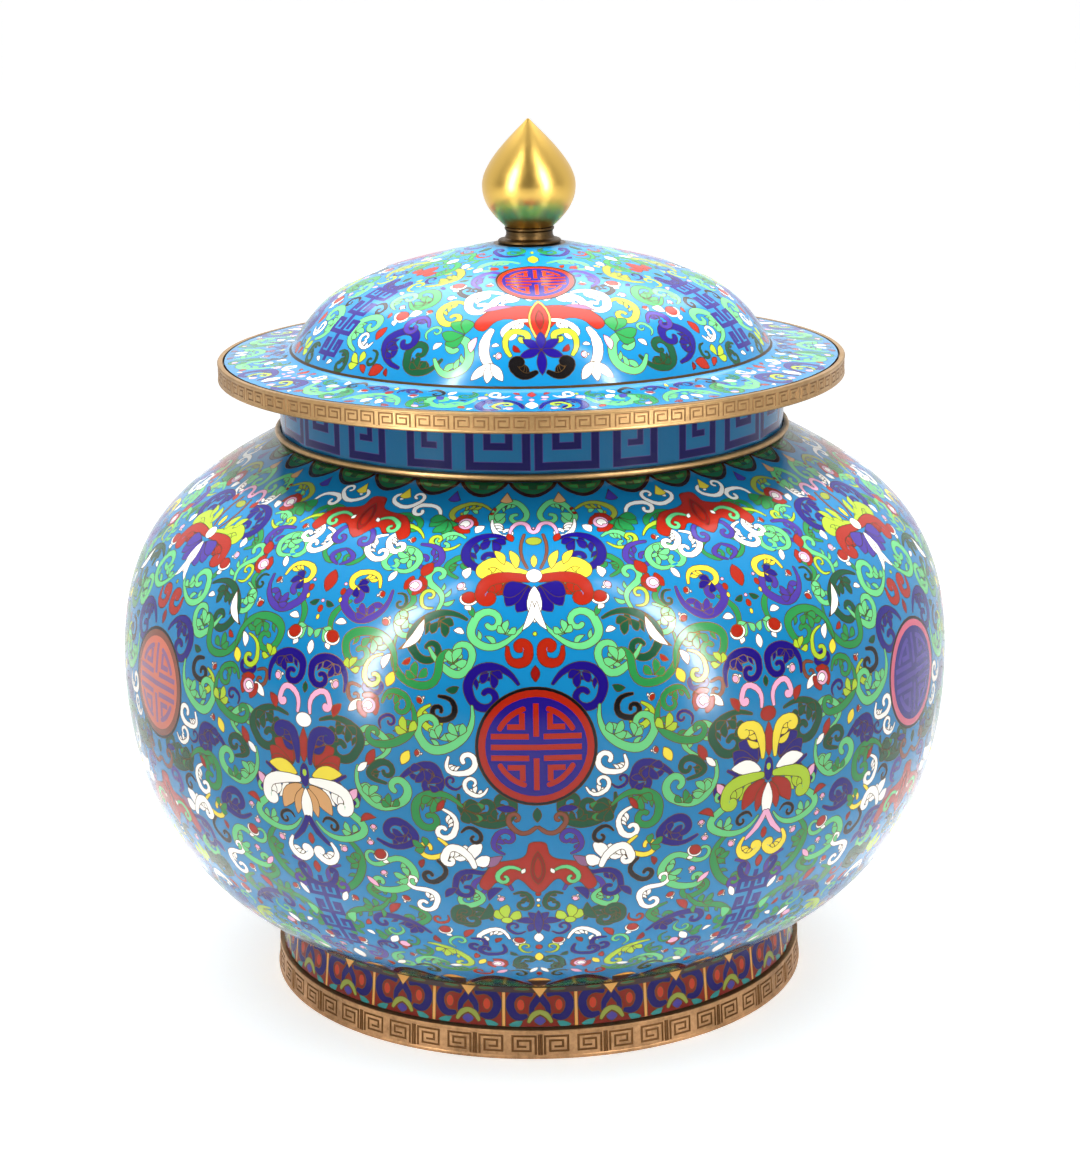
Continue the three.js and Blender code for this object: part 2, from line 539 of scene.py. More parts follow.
def curvePoints(points):
    # A smooth line through a few given points
    p = np.array(points, float)
    h = np.linalg.norm(np.diff(p, axis=0), axis=1)
    if len(p) == 2:
        return p[0] + (p[1] - p[0]) * np.linspace(0, 1, max(3, int(h[0] / pathStep)))[:, None]
    slope = np.diff(p, axis=0) / h[:, None]
    count = len(p)
    grid = np.eye(count)
    value = np.zeros((count, 2))
    value[0] = slope[0] + (slope[0] - slope[1]) * h[0] / (h[0] + h[1])
    value[-1] = slope[-1] + (slope[-1] - slope[-2]) * h[-1] / (h[-1] + h[-2])
    for i in range(1, count - 1):
        grid[i, i - 1:i + 2] = 1 / h[i - 1], 2 / h[i - 1] + 2 / h[i], 1 / h[i]
        value[i] = 3 * slope[i - 1] / h[i - 1] + 3 * slope[i] / h[i]
    way = np.linalg.solve(grid, value)
    made = []
    for i in range(count - 1):
        t = np.linspace(0, 1, max(4, int(h[i] / pathStep)), endpoint=False)[:, None]
        made.append((2 * t ** 3 - 3 * t ** 2 + 1) * p[i] + (t ** 3 - 2 * t ** 2 + t) * h[i] * way[i]
                    + (3 * t ** 2 - 2 * t ** 3) * p[i + 1] + (t ** 3 - t ** 2) * h[i] * way[i + 1])
    return np.concatenate(made + [p[-1:]])


def softened(path, rounds=16):
    # Rounds off the corners of an evenly stepped path
    path = path.copy()
    for _ in range(rounds):
        path[1:-1] += 0.25 * (path[:-2] - 2 * path[1:-1] + path[2:])
    return path


def evenly(path):
    along = runLength(path)
    where = np.linspace(0, along[-1], max(4, int(along[-1] / pathStep)) + 1)
    return np.stack([np.interp(where, along, path[:, 0]), np.interp(where, along, path[:, 1])], 1)


curlTurns = [(2.7, 45), (1.9, 75), (1.3, 95), (0.9, 90)]  # radius as a share, and sweep in degrees


def curlEnd(path, radius):
    # Winds the end of a path into a curl, to the left for a positive radius
    last = path[-1] - path[-2]
    angle = math.atan2(last[1], last[0])
    turn = math.copysign(1, radius)
    at = path[-1]
    made = []
    for share, sweep in curlTurns:
        bend = share * abs(radius)
        count = max(3, int(bend * math.radians(sweep) / 0.3))
        step = math.radians(sweep) / count
        for _ in range(count):
            angle += turn * step / 2
            at = at + bend * step * np.array([math.cos(angle), math.sin(angle)])
            angle += turn * step / 2
            made.append(at)
    return np.concatenate([path, made])


def ribbon(path, widths):
    # The outline of a stroke with round ends
    along = runLength(path)
    along /= along[-1]
    half = np.interp(along, np.linspace(0, 1, len(widths)), widths) / 2
    way = unit(np.gradient(path, axis=0))
    side = leftOf(way) * half[:, None]

    def roundEnd(centre, direction, size):
        turns = np.radians([60, 25, -25, -60])
        across = leftOf(direction)
        return [centre + size * (math.cos(t) * direction + math.sin(t) * across) for t in turns]

    tip = roundEnd(path[-1], way[-1], half[-1])
    tail = roundEnd(path[0], -way[0], half[0])
    return np.concatenate([path + side, tip, (path - side)[::-1], tail])


def leafOutline(root, tip, width, bend, lean, roundness, count):
    # A leaf from root to tip: bend curves its spine, the two powers shape its sides
    t = np.linspace(0, 1, count)
    line = tip - root
    side = leftOf(line)
    spine = root + line * t[:, None] + side * (bend * 4 * t * (1 - t))[:, None]
    half = (width / 2 * np.sin(np.pi * t ** lean) ** roundness)[:, None] * unit(side)
    return np.concatenate([(spine + half)[:-1], (spine - half)[:0:-1]])


def insideLoop(loop, points):
    # Which points lie inside a closed outline
    x, y = points[:, 0][:, None], points[:, 1][:, None]
    ax, ay = loop[:, 0][None], loop[:, 1][None]
    bx, by = np.roll(loop[:, 0], -1)[None], np.roll(loop[:, 1], -1)[None]
    crosses = (ay > y) != (by > y)
    rise = np.where(by == ay, 1e-12, by - ay)
    return (crosses & (x < (bx - ax) * (y - ay) / rise + ax)).sum(1) % 2 == 1


scrollLook = {
    "width": 1.13,  # all scrolls
    "curl": 1.55,
    "petal": 1.28,
    "leafyWidth": 2.2,  # scrolls at least this wide carry leaf lobes
    "lobes": 3,
    "lobesFrom": 0.3,
    "lobesTo": 0.74,
    "lobeLean": 55,
    "lobeReach": 1.85,
    "lobeWidth": 0.42,
}

fillers = {
    "curls": ["navy", "green", "mint", "violet", "darkGreen", "white", "navy", "green", "lime", "black",
              "red", "mint", "darkGreen"],
    "petals": ["red", "navy", "white", "lime", "crimson", "pink", "darkGreen", "yellow"],
    "leafySize": 3.3,
    "curlSize": 2.5,
    "budSize": 1.9,
    "turn": 137.5,  # from one filler to the next
}


class Register:
    # One mirrored unit of a pattern on a turned surface

    def __init__(self, line, span, low, high, groundName, step=5.0):
        self.line = line
        self.span = span
        self.low = low
        self.high = high
        self.ground = groundName
        self.step = step
        self.cells = []
        self.wireName = "wire"

    def cell(self, colour, local, centre, wired=True):
        # local is an outline in millimetres: x from the centre's meridian, y along the outline
        if areaOf(local) < 0:
            local = local[::-1]
        local = simplify(local, outlineError)
        if len(local) < 3:
            return
        inner = inset(local, wireWidth) if wired else local
        layers = [(self.wireName, local)] if wired else []
        if inner is not None:
            layers.append((colour, inner))
        for name, loop in layers:
            reach = np.clip(loop[:, 1], 0, self.line.length)
            turn = centre + np.degrees(loop[:, 0] / self.line.radius(reach))
            self.cells.append((name, np.stack([turn, loop[:, 1]], 1)))

    def near(self, centre, side=1):
        # Turns millimetres round a centre into places on the outline
        scale = side * math.degrees(1 / float(self.line.radius(centre[1])))
        return lambda x, y: (centre[0] + x * scale, centre[1] + y)

    def spun(self, centre, turn, size):
        # The same, turned and scaled
        c, s = math.cos(math.radians(turn)), math.sin(math.radians(turn))
        at = self.near(centre)
        return lambda x, y: at((x * c - y * s) * size, (x * s + y * c) * size)

    def localise(self, points, centre):
        p = np.array(points, float)
        reach = np.clip(p[:, 1], 0, self.line.length)
        return np.stack([np.radians(p[:, 0] - centre) * self.line.radius(reach), p[:, 1]], 1)

    def scroll(self, colour, points, widths, end=0, start=0):
        # points are (degrees, height); end and start are curl radii
        centre = float(np.mean([p[0] for p in points]))
        bare = path = softened(evenly(curvePoints(self.localise(points, centre))))
        widths = np.array(widths) * scrollLook["width"]
        if end:
            path = curlEnd(path, end * scrollLook["curl"])
        if start:
            path = curlEnd(path[::-1], -start * scrollLook["curl"])[::-1]
        wide = float(np.max(widths))
        if end and wide >= scrollLook["leafyWidth"] * scrollLook["width"]:
            self.fringe(colour, bare, wide, 1 if end > 0 else -1, centre)
        self.cell(colour, ribbon(path, widths), centre)

    def fringe(self, colour, path, wide, side, centre):
        # Leaf lobes along the hollow side of a scroll
        first, last, lobes = (scrollLook[key] for key in ("lobesFrom", "lobesTo", "lobes"))
        lean = math.radians(scrollLook["lobeLean"])
        for j in range(lobes):
            k = int((first + (last - first) * j / (lobes - 1)) * (len(path) - 2))
            way = unit(path[k + 1] - path[k])
            reach = wide * scrollLook["lobeReach"] * (1 - 0.12 * j)
            tip = path[k] + reach * (math.cos(lean) * way + math.sin(lean) * (side * leftOf(way)))
            self.cell(colour, leafOutline(path[k], tip, reach * scrollLook["lobeWidth"], side * 0.16,
                                          0.8, 0.7, 13), centre)

    def petal(self, colour, base, tip, width, bend=0.0, full=0.5):
        # A leaf or petal with both ends pointed, widest at the share called full
        centre = (base[0] + tip[0]) / 2
        a, b = self.localise([base, tip], centre)
        self.cell(colour, leafOutline(a, b, width * scrollLook["petal"], bend,
                                      math.log(0.5) / math.log(full), 0.75, 15), centre)

    def oval(self, colour, at, rx, ry=None, turn=0.0, wired=True, count=None):
        ry = ry or rx
        t = np.linspace(0, 2 * np.pi, count or int(12 + 2 * max(rx, ry)), endpoint=False)
        c, s = math.cos(math.radians(turn)), math.sin(math.radians(turn))
        x, y = rx * np.cos(t), ry * np.sin(t)
        self.cell(colour, np.stack([x * c - y * s, x * s + y * c + at[1]], 1), at[0], wired)

    def blob(self, colour, centre, sideways, size, corners):
        # A smooth closed shape through corners in millimetres round the centre
        here = [(x * sideways, y * size + centre[1]) for x, y in corners]
        self.cell(colour, curvePoints(here + here[:1])[:-1], centre[0])

    def bar(self, colour, points, width, at, wired=True):
        # A square-cornered line in millimetres round the centre `at`
        p = np.array(points, float)
        way = unit(np.diff(p, axis=0))
        side = leftOf(way)
        joints = np.concatenate([side[:1], side[:-1] + side[1:], side[-1:]])
        joints[1:-1] /= ((joints[1:-1] ** 2).sum(1) / 2)[:, None]
        half = width / 2
        p[0] -= way[0] * half
        p[-1] += way[-1] * half
        outline = np.concatenate([p + joints * half, (p - joints * half)[::-1]])
        outline[:, 1] += at[1]
        self.cell(colour, outline, at[0], wired)

    def leafFan(self, colour, at, turn, size, lobes=3, spread=100):
        # Short lobes that spring from one point, as on an acanthus
        spot = self.near(at)
        for k in range(lobes):
            share = k / (lobes - 1) - 0.5
            angle = math.radians(turn + spread * share)
            reach = size * (1 - 0.35 * abs(share))
            tip = spot(reach * math.cos(angle), reach * math.sin(angle))
            self.petal(colour, at, tip, size * 0.42, 0.12 if share > 0 else -0.12, 0.6)

    def bud(self, at, size, turn, core="red", sepals="white"):
        # A round bud held by two sepals on a short stem
        spot = self.spun(at, turn, size)
        self.petal(sepals, spot(0.2, -0.6), spot(-0.5, -2.0), 0.85 * size, 0.15)
        self.oval(sepals, spot(0, -0.16), 1.42 * size, 1.12 * size, turn)
        self.oval(core, spot(0, 0.06), 1.12 * size, 1.0 * size, turn)

    def blossom(self, at, size, turn):
        # A round pink blossom with a white swirl and red outer petals
        spot = self.near(at)
        for angle, reach in ((70, 1.75), (150, 1.5), (-60, 1.75)):
            a = math.radians(turn + angle)
            tip = spot(reach * size * math.cos(a), reach * size * math.sin(a))
            self.petal("red", at, tip, 1.9 * size, 0, 0.62)
        self.oval("pink", at, size)
        swirl = [spot(x * size, y * size) for x, y in ((0.55, -0.1), (0.1, 0.5), (-0.45, 0.0), (0.0, -0.3))]
        self.scroll("white", swirl, [0.42 * size + 0.3])

    def fill(self, low, high, least, most, first=0):
        # Small curls, buds and petals where the ground shows widest, the widest gaps first
        spots, axis = [], []
        for level in np.arange(low, high, 1.0):
            count = int(math.radians(self.span) * float(self.line.radius(level)))
            for i in range(count + 1):
                spots.append((self.span * i / count, level))
                axis.append(i in (0, count))
        spots, axis = np.array(spots), np.array(axis)
        k = math.radians(float(self.line.radius((low + high) / 2)))
        free = np.ones(len(spots), bool)
        wires = []
        for _, loop in self.cells:
            free &= ~insideLoop(loop, spots)
            for a, b in zip(loop, np.roll(loop, -1, 0)):
                steps = min(20, 1 + int(np.linalg.norm((b - a) * [k, 1])))
                wires += [a + (b - a) * t / steps for t in range(steps)]
        edges = KDTree(len(wires))
        for place in wires:
            edges.insert(self.line.place(*place)[0], 0)
        edges.balance()
        places = self.line.place(spots[:, 0], spots[:, 1])[0]
        clear = np.array([edges.find(at)[2] / mm if ok else 0.0 for at, ok in zip(places, free)])
        beside = np.minimum(spots[:, 0], self.span - spots[:, 0]) * np.radians(self.line.radius(spots[:, 1]))
        clear = np.where(axis, clear, np.minimum(clear, beside))
        clear = np.minimum(clear, np.minimum(spots[:, 1] - low, high - spots[:, 1]) + 0.6)
        count = first
        while clear.max() > least:
            best = int(clear.argmax())
            size = min(float(clear[best]), most)
            self.filler(spots[best], size * 0.92, bool(axis[best]), count)
            away = np.linalg.norm(places - places[best], axis=1) / mm
            clear = np.minimum(clear, away - size * 0.95)
            count += 1

    def filler(self, place, size, upright, count):
        # One small motif inside a circle of the given radius
        turn = 90.0 if upright else (count * fillers["turn"]) % 360
        spot = self.spun(place, turn, size)
        petals, curls = fillers["petals"], fillers["curls"]
        if upright:
            self.petal(petals[count % len(petals)], spot(-0.9, 0), spot(0.9, 0), size * 0.8)
        elif size > fillers["curlSize"]:
            colour = curls[count % len(curls)]
            if size > fillers["leafySize"]:
                self.leafFan(colour, spot(0.42, -0.5), turn + 128, size * 0.95, 3, 86)
            self.scroll(colour, [spot(-0.78, -0.52), spot(0.12, -0.8), spot(0.74, -0.1)],
                        (0.24 * size, 0.46 * size, 0.42 * size, 0.3 * size), 0.22 * size)
        elif size > fillers["budSize"] and count % 2:
            self.bud(spot(0.1, 0), size * 0.5, turn, ("red", "pink")[count % 4 // 2])
        else:
            self.petal(petals[count % len(petals)], spot(-0.95, 0), spot(0.95, 0), size * 0.85, 0.12)

    def chunk(self):
        # Triangles of the unit, each with its colour
        k = math.radians(float(self.line.radius((self.low + self.high) / 2)))
        width = self.span * k
        tall = self.high - self.low
        rows = max(2, int(tall / self.step))
        columns = max(2, int(width / self.step))
        border = ([(i / columns * width, self.low) for i in range(columns)]
                  + [(width, self.low + tall * j / rows) for j in range(rows)]
                  + [(width * (1 - i / columns), self.high) for i in range(columns)]
                  + [(0, self.high - tall * j / rows) for j in range(rows)])
        points, edges = [], []
        for loop in [border] + [loop * [k, 1.0] for _, loop in self.cells]:
            first, count = len(points), len(loop)
            points += [Vector(p) for p in loop]
            edges += [(first + i, first + (i + 1) % count) for i in range(count)]
        for j in range(1, rows):
            for i in range(1, columns):
                shift = 0.5 if j % 2 else 0.0
                points.append(Vector(((i - shift + 0.25) / columns * width, self.low + tall * j / rows)))
        made = delaunay_2d_cdt(points, edges, [], 0, 1e-4)
        at = np.array([(v.x, v.y) for v in made[0]])
        tri = np.array([f for f in made[2] if len(f) == 3])
        for axis, edge in ((0, 0), (0, width), (1, self.low), (1, self.high)):
            at[np.abs(at[:, axis] - edge) < 0.002, axis] = edge
        middle = at[tri].mean(1)
        inside = ((middle > (0, self.low)) & (middle < (width, self.high))).all(1)
        tri, middle = tri[inside], middle[inside]
        colours = np.zeros(len(tri), int)
        names = [self.ground]
        for colour, loop in self.cells:
            if colour not in names:
                names.append(colour)
            shape = loop * [k, 1.0]
            near = np.nonzero(((middle >= shape.min(0)) & (middle <= shape.max(0))).all(1))[0]
            if len(near):
                colours[near[insideLoop(shape, middle[near])]] = names.index(colour)
        used, tri = np.unique(tri, return_inverse=True)
        at = at[used]
        return np.stack([at[:, 0] / k, at[:, 1]], 1), tri.reshape(-1, 3), colours, names

    def repeat(self, shell, copies, recolour=None, start=0.0, raised=0.0):
        # Mirrored copies right round; returns the low and high rings
        at, tri, colours, names = self.chunk()
        lift = np.zeros(len(at))
        if raised:
            lift[np.unique(tri[colours == names.index("raised")])] = raised
        lowRing, highRing = [], []
        for copy in range(copies):
            flip = copy % 2
            base = start + (copy + flip) * self.span
            angle = base - at[:, 0] if flip else base + at[:, 0]
            here, normal = self.line.place(angle, at[:, 1], lift)
            faces = tri[:, ::-1] if flip else tri
            corner = normal[faces]
            if raised:
                a, b, c = (here[faces[:, i]] for i in range(3))
                flat = np.cross(b - a, c - a)
                flat /= np.maximum(np.linalg.norm(flat, axis=1), 1e-15)[:, None]
                sloped = np.ptp(lift[faces], axis=1) > 0
                corner[sloped] = flat[sloped][:, None]
            named = [recolour(name, copy) if recolour else name for name in names]
            slots = np.array([shell.slot(name) for name in named])[colours]
            shell.add(here, faces, slots, corner)
            for ring, level in ((lowRing, self.low), (highRing, self.high)):
                on = np.nonzero(at[:, 1] == level)[0]
                ring.append((angle[on], here[on], normal[on]))
        return mergeRing(lowRing), mergeRing(highRing)


def mergeRing(parts):
    angle, at, normal = (np.concatenate(column) for column in zip(*parts))
    angle = angle % 360
    order = np.argsort(angle)
    angle, at, normal = angle[order], at[order], normal[order]
    keep = np.concatenate([[True], np.diff(angle) > 1e-5])
    if 360 - angle[keep][-1] + angle[0] < 1e-5:
        keep[np.nonzero(keep)[0][-1]] = False
    return angle[keep], at[keep], normal[keep]


# Neck, foot band and lid

lidTurn = 2.5

roundelParts = ("roundel", "fret", "roundelRim")
roundelColours = {  # of those parts, column by column
    "dark": ("violetDark", "violet", "rose"),
    "bright": ("fretField", "red", "red"),
    "clay": ("terracotta", "mauve", "brown"),
}
roundelOrder = ["bright", "dark", "clay"]
flowerColours = {  # in turn, from flower to flower
    "hangLeaf": ("navy", "red"),
    "hangSide": ("white", "yellow"),
    "hangArm": ("lime", "white"),
    "hangLower": ("red", "peach"),
    "hangHorn": ("yellow", "navy"),
    "hangFeeler": ("pink", "pink"),
    "hangBud": ("red", "white"),
    "hangLeg": ("pink", "navy"),
    "hangFoot": ("yellow", "white"),
    "riseArm": ("yellow", "lime"),
    "riseLeaf": ("navy", "violet"),
}


def bodyRecolour(name, copy):
    # Roundels and flowers change their colours from column to column
    roundel = roundelOrder[(copy + 1) // 2 % len(roundelOrder)]
    if name in roundelParts:
        return roundelColours[roundel][roundelParts.index(name)]
    if name in flowerColours:
        other = roundel != "bright" if name.startswith("rise") else copy // 2 % 2
        return flowerColours[name][int(other)]
    return name


def domeRecolour(name, copy):
    return dict(zip(roundelParts, roundelColours["bright"])).get(name, name)


def neckMotifs(r):
    # A wide and a narrow key unit in turn, drawn in millimetres round the neck
    high = jar["neckHeight"]
    perMm = math.degrees(1 / r.line.radius(1.0))
    wide, narrow = 11.0, 8.2
    first = wide * perMm + 0.4
    second = first + (wide + 4.2 + narrow) * perMm
    x = narrow - 1.5
    r.wireName = "neckWire"
    for middle, width, points in (
            (first, 3.0, [(-wide + 1.4, high), (-wide + 1.4, 4.9), (wide - 1.8, 4.9), (wide - 1.8, high)]),
            (first, 2.7, [(-3.9, high), (-3.9, 11.6), (3.3, 11.6), (3.3, high)]),
            (second, 3.0, [(x, high), (x, 4.9), (-x, 4.9), (-x, high)]),
            (second, 2.4, [(1.6, high), (1.6, 11.4), (-1.8, 11.4)])):
        r.bar("neckNavy", points, width, (middle, 0))


def footBandMotifs(r):
    # Half a cell: a lobed head over an arch, on a red ground, with thin dividers
    perMm = math.degrees(1 / 95.6)
    top = r.line.length

    def at(x, y):
        return (x * perMm, y)

    r.bar("amber", [(0, 0), (0, top)], 1.5, (r.span, 0))
    r.petal("bandBright", at(0, 13.6), at(4.4, 14.4), 1.8)
    r.petal("teal", at(11.0, 1.0), at(5.6, 2.6), 2.2, 0.1)
    r.petal("teal", at(11.2, 14.2), at(7.0, 13.4), 1.3)
    arch = [at(3.2, 12.2), at(7.4, 12.9), at(10.0, 10.6), at(10.0, 6.4), at(8.0, 3.9), at(5.0, 4.2)]
    r.scroll("bandNavy", arch, (2.2, 2.8, 3.0, 3.0, 2.8, 2.0))
    r.oval("bandBright", at(6.6, 8.3), 1.5, 2.2)
    r.scroll("bandNavy", [at(-0.6, 14.0), at(0.2, 11.0), at(2.6, 8.2), at(3.0, 5.6)], (3.0, 2.6, 2.4, 1.8))
    r.scroll("olive", [at(-0.6, 6.0), at(1.8, 5.2), at(3.8, 2.4)], (1.7, 2.1, 1.5))
    r.petal("violet", at(0, 0.8), at(0, 4.6), 3.4)
    r.bar("lappetEdge", [(-1, 0), (r.span / perMm + 1, 0)], 2.6, (0, top - 0.9), False)
    r.oval("lappet", at(6.2, top - 0.9), 3.0, 0.7)
    r.cell("amber", np.array([(0.0, top - 4.2), (3.0, top - 0.2), (-3.0, top - 0.2)]), 0)


def brimMotifs(r):
    for row in (
            ("navy", [(1.5, 4), (4, 12), (8, 13), (9.5, 7)], (1.4, 2.8, 2.6, 1.8), -1.2),
            ("mint", [(11, 15), (12.5, 8), (16, 4.5), (19, 8)], (1.4, 2.8, 2.8, 1.8), 1.2),
            ("green", [(19.5, 15.5), (22.5, 12), (22.5, 6)], (1.4, 2.6, 1.6), -1.1),
            ("mint", [(24.5, 4), (26.5, 11), (29, 13.5)], (1.4, 2.6, 1.6), -1.0),
            ("lime", [(5.5, 3.0), (7.0, 6.5), (6.0, 9.5)], (1.0, 1.8, 1.2), 0.7)):
        r.scroll(*row)
    for row in (
            ("white", (0, 3.5), (0, 11.5), 3.6),
            ("pink", (2.2, 15.5), (3.2, 18.5), 2.4),
            ("white", (14.5, 13), (17, 16.5), 2.6, 0.1),
            ("pink", (20, 3), (21.8, 4.8), 2.0),
            ("red", (11.8, 3.2), (13.2, 6.2), 2.2),
            ("white", (28.4, 3), (29.4, 8.5), 2.4, 0.1),
            ("violet", (17.4, 12), (19.0, 16.8), 2.4),
            ("red", (30, 14), (30, 18.5), 2.6)):
        r.petal(*row)
    r.bud((9.6, 16.2), 1.4, 30, "pink")
    r.bud((24.2, 15.4), 1.4, -20)
    r.fill(0.8, r.line.length - 1.2, 1.6, 3.6, 5)


def domeMotifs(r):
    for row in (
            ("darkGreen", [(24.0, 9.4), (27.8, 4.6), (32.0, 5.6), (33.2, 10.2)], (1.3, 2.8, 2.8, 1.7), 1.1),
            ("navy", [(34.6, 5.4), (38.6, 8.0), (41.0, 14.6), (37.8, 19.0)], (1.3, 2.8, 3.2, 1.9), 1.3),
            ("mint", [(50.2, 9.6), (54.2, 13.4), (54.6, 20.2), (51.2, 23.4)], (1.3, 2.8, 2.8, 1.7), 1.1),
            ("green", [(43.0, 33.2), (38.2, 30.0), (34.4, 33.8), (36.2, 39.8)], (1.3, 2.8, 2.8, 1.7), -1.1),
            ("olive", [(45.2, 44.2), (40.0, 46.8), (36.4, 52.6), (40.2, 58.4)], (1.3, 2.8, 2.8, 1.5), -1.0),
            ("green", [(52.0, 50.0), (47.2, 55.0), (48.0, 62.0)], (1.3, 2.6, 1.5), -1.0),
            ("lime", [(22.0, 33.6), (27.0, 36.0), (30.0, 30.6), (27.8, 25.4)], (1.2, 2.6, 2.6, 1.6), -1.0),
            ("black", [(21.6, 42.4), (24.0, 39.6), (27.4, 41.0)], (1.2, 2.0, 1.3), 0.8, 0.6),
            ("violet", [(22.0, 46.0), (27.0, 50.0), (26.0, 57.0)], (1.2, 2.3, 1.5), 1.0),
            ("mint", [(10.0, 68.6), (22.0, 70.0), (32.0, 66.0)], (1.2, 2.4, 1.4), -1.0),
            ("green", [(36.0, 71.5), (48.0, 69.0), (56.0, 73.0)], (1.2, 2.3, 1.3), -0.8),
            ("navy", [(8.0, 77.0), (26.0, 75.0), (40.0, 78.0)], (1.0, 2.0, 1.2), 0.6),
            ("mint", [(46.0, 28.6), (49.6, 31.8), (48.2, 36.4)], (1.1, 2.4, 1.4), 0.9),
            ("violet", [(30.6, 22.4), (33.2, 26.4), (36.4, 24.6)], (1.2, 2.3, 1.4), -0.9)):
        r.scroll(*row)
    for row in (
            ("navy", (39.8, 11.2), 165, 5.0), ("darkGreen", (29.4, 5.6), 80, 5.0),
            ("mint", (54.0, 16.4), 175, 5.0), ("lime", (46.6, 5.0), 40, 6.0),
            ("green", (37.0, 33.6), 20, 5.4, 4), ("olive", (38.4, 50.8), 20, 5.4, 4)):
        r.leafFan(*row)
    for row in (
            ("red", (38.6, 5.0), (42.4, 1.6), 3.6, 0.1), ("red", (43.4, 20.4), (44.6, 14.4), 3.0, 0.1),
            ("red", (60.0, 50.0), (60.0, 60.0), 4.6), ("red", (59.0, 52.0), (52.4, 55.8), 3.4, 0.2),
            ("white", (60.0, 62.6), (60.0, 68.4), 3.0), ("white", (42.0, 60.6), (45.6, 65.4), 2.6, 0.1),
            ("pink", (32.0, 58.0), (31.0, 63.0), 2.8), ("red", (26.0, 64.0), (20.0, 62.0), 2.6, 0.1),
            ("white", (35.4, 29.0), (39.0, 26.0), 3.0, 0.1)):
        r.petal(*row)
    r.bud((41.2, 25.8), 2.4, 20)
    r.bud((31.4, 46.6), 2.2, -10)
    domeBat(r, (0, 26.0))
    fretRoundel(r, (0, 52.0), 14.0)
    fretColumn(r, (60.0, 22.0), 35.0, 12.0)
    r.fill(1.4, dome.length - 2.0, 1.8, 4.6, 3)


def domeBat(r, centre):
    # The bat on the dome with its clouds, feet and a small knot, right half
    at = r.near(centre)
    r.scroll("white", [at(3.0, 12.2), at(8.6, 15.0), at(14.4, 13.8), at(17.4, 9.6)],
             (1.6, 3.0, 3.0, 2.0), -0.8)
    r.scroll("white", [at(15.0, 16.4), at(21.4, 17.2), at(27.0, 13.4), at(26.4, 7.6)],
             (1.6, 3.2, 3.0, 2.0), -1.1)
    r.blob("red", centre, 1, 1, [
        (1.2, 8.4), (7.6, 8.6), (14.4, 6.8), (20.2, 2.0), (21.8, -3.6), (19.4, -4.8), (15.6, -1.2),
        (10.6, 1.2), (5.6, -0.8), (2.4, -4.6)])
    r.petal("mauve", at(9.0, 8.0), at(20.4, 4.4), 2.2, 0.1)
    r.scroll("white", [at(3.4, 0.6), at(7.6, 0.0), at(11.0, -3.4)], (1.6, 2.4, 2.0), -0.7)
    r.petal("amber", at(0, -10.4), at(0, 12.0), 6.2)
    r.petal("red", at(0, -8.6), at(0, 10.4), 4.9)
    r.petal("crimson", at(0, -4.0), at(0, 6.0), 2.4)
    r.scroll("white", [at(15.6, -4.4), at(17.0, -10.4), at(15.6, -16.6), at(13.0, -20.0)],
             (2.4, 3.4, 3.2, 2.4))
    for x, y in ((19.6, -23.4), (15.0, -24.4), (10.6, -23.6)):
        r.petal("white", at(14.4, -17.0), at(x, y), 2.8)
    r.scroll("lime", [at(5.4, -5.0), at(9.4, -4.8), at(10.8, -9.4), at(9.0, -14.2)],
             (1.6, 2.4, 2.2, 1.6), 0, -0.6)
    for x, y in ((5.6, -7.8), (6.4, -14.8), (0.0, -4.6), (0.0, -21.6)):
        r.petal("navy", at(0, -12.0), at(x, y), 2.8)
    r.scroll("black", [at(1.8, -20.4), at(5.0, -21.8), at(7.8, -18.8)], (1.8, 3.0, 1.8), 0.6)
    r.scroll("mint", [at(31.0, -16.6), at(26.6, -21.8), at(21.6, -18.8), at(21.4, -11.4)],
             (1.4, 3.0, 3.0, 1.8), -1.2)
    r.leafFan("green", at(23.6, -6.4), 20, 9.0, 4, 110)
    r.petal("pink", at(19.6, -7.0), at(20.6, -13.6), 2.4, 0.1)


# The picture on the body: one mirrored twelfth, from a roundel column to a flower column.
# Places are (degrees from the roundel column, millimetres up the outline from the foot).

flowerAngle = 30.0
mapAngle = 30.8  # the places below were read at this spacing

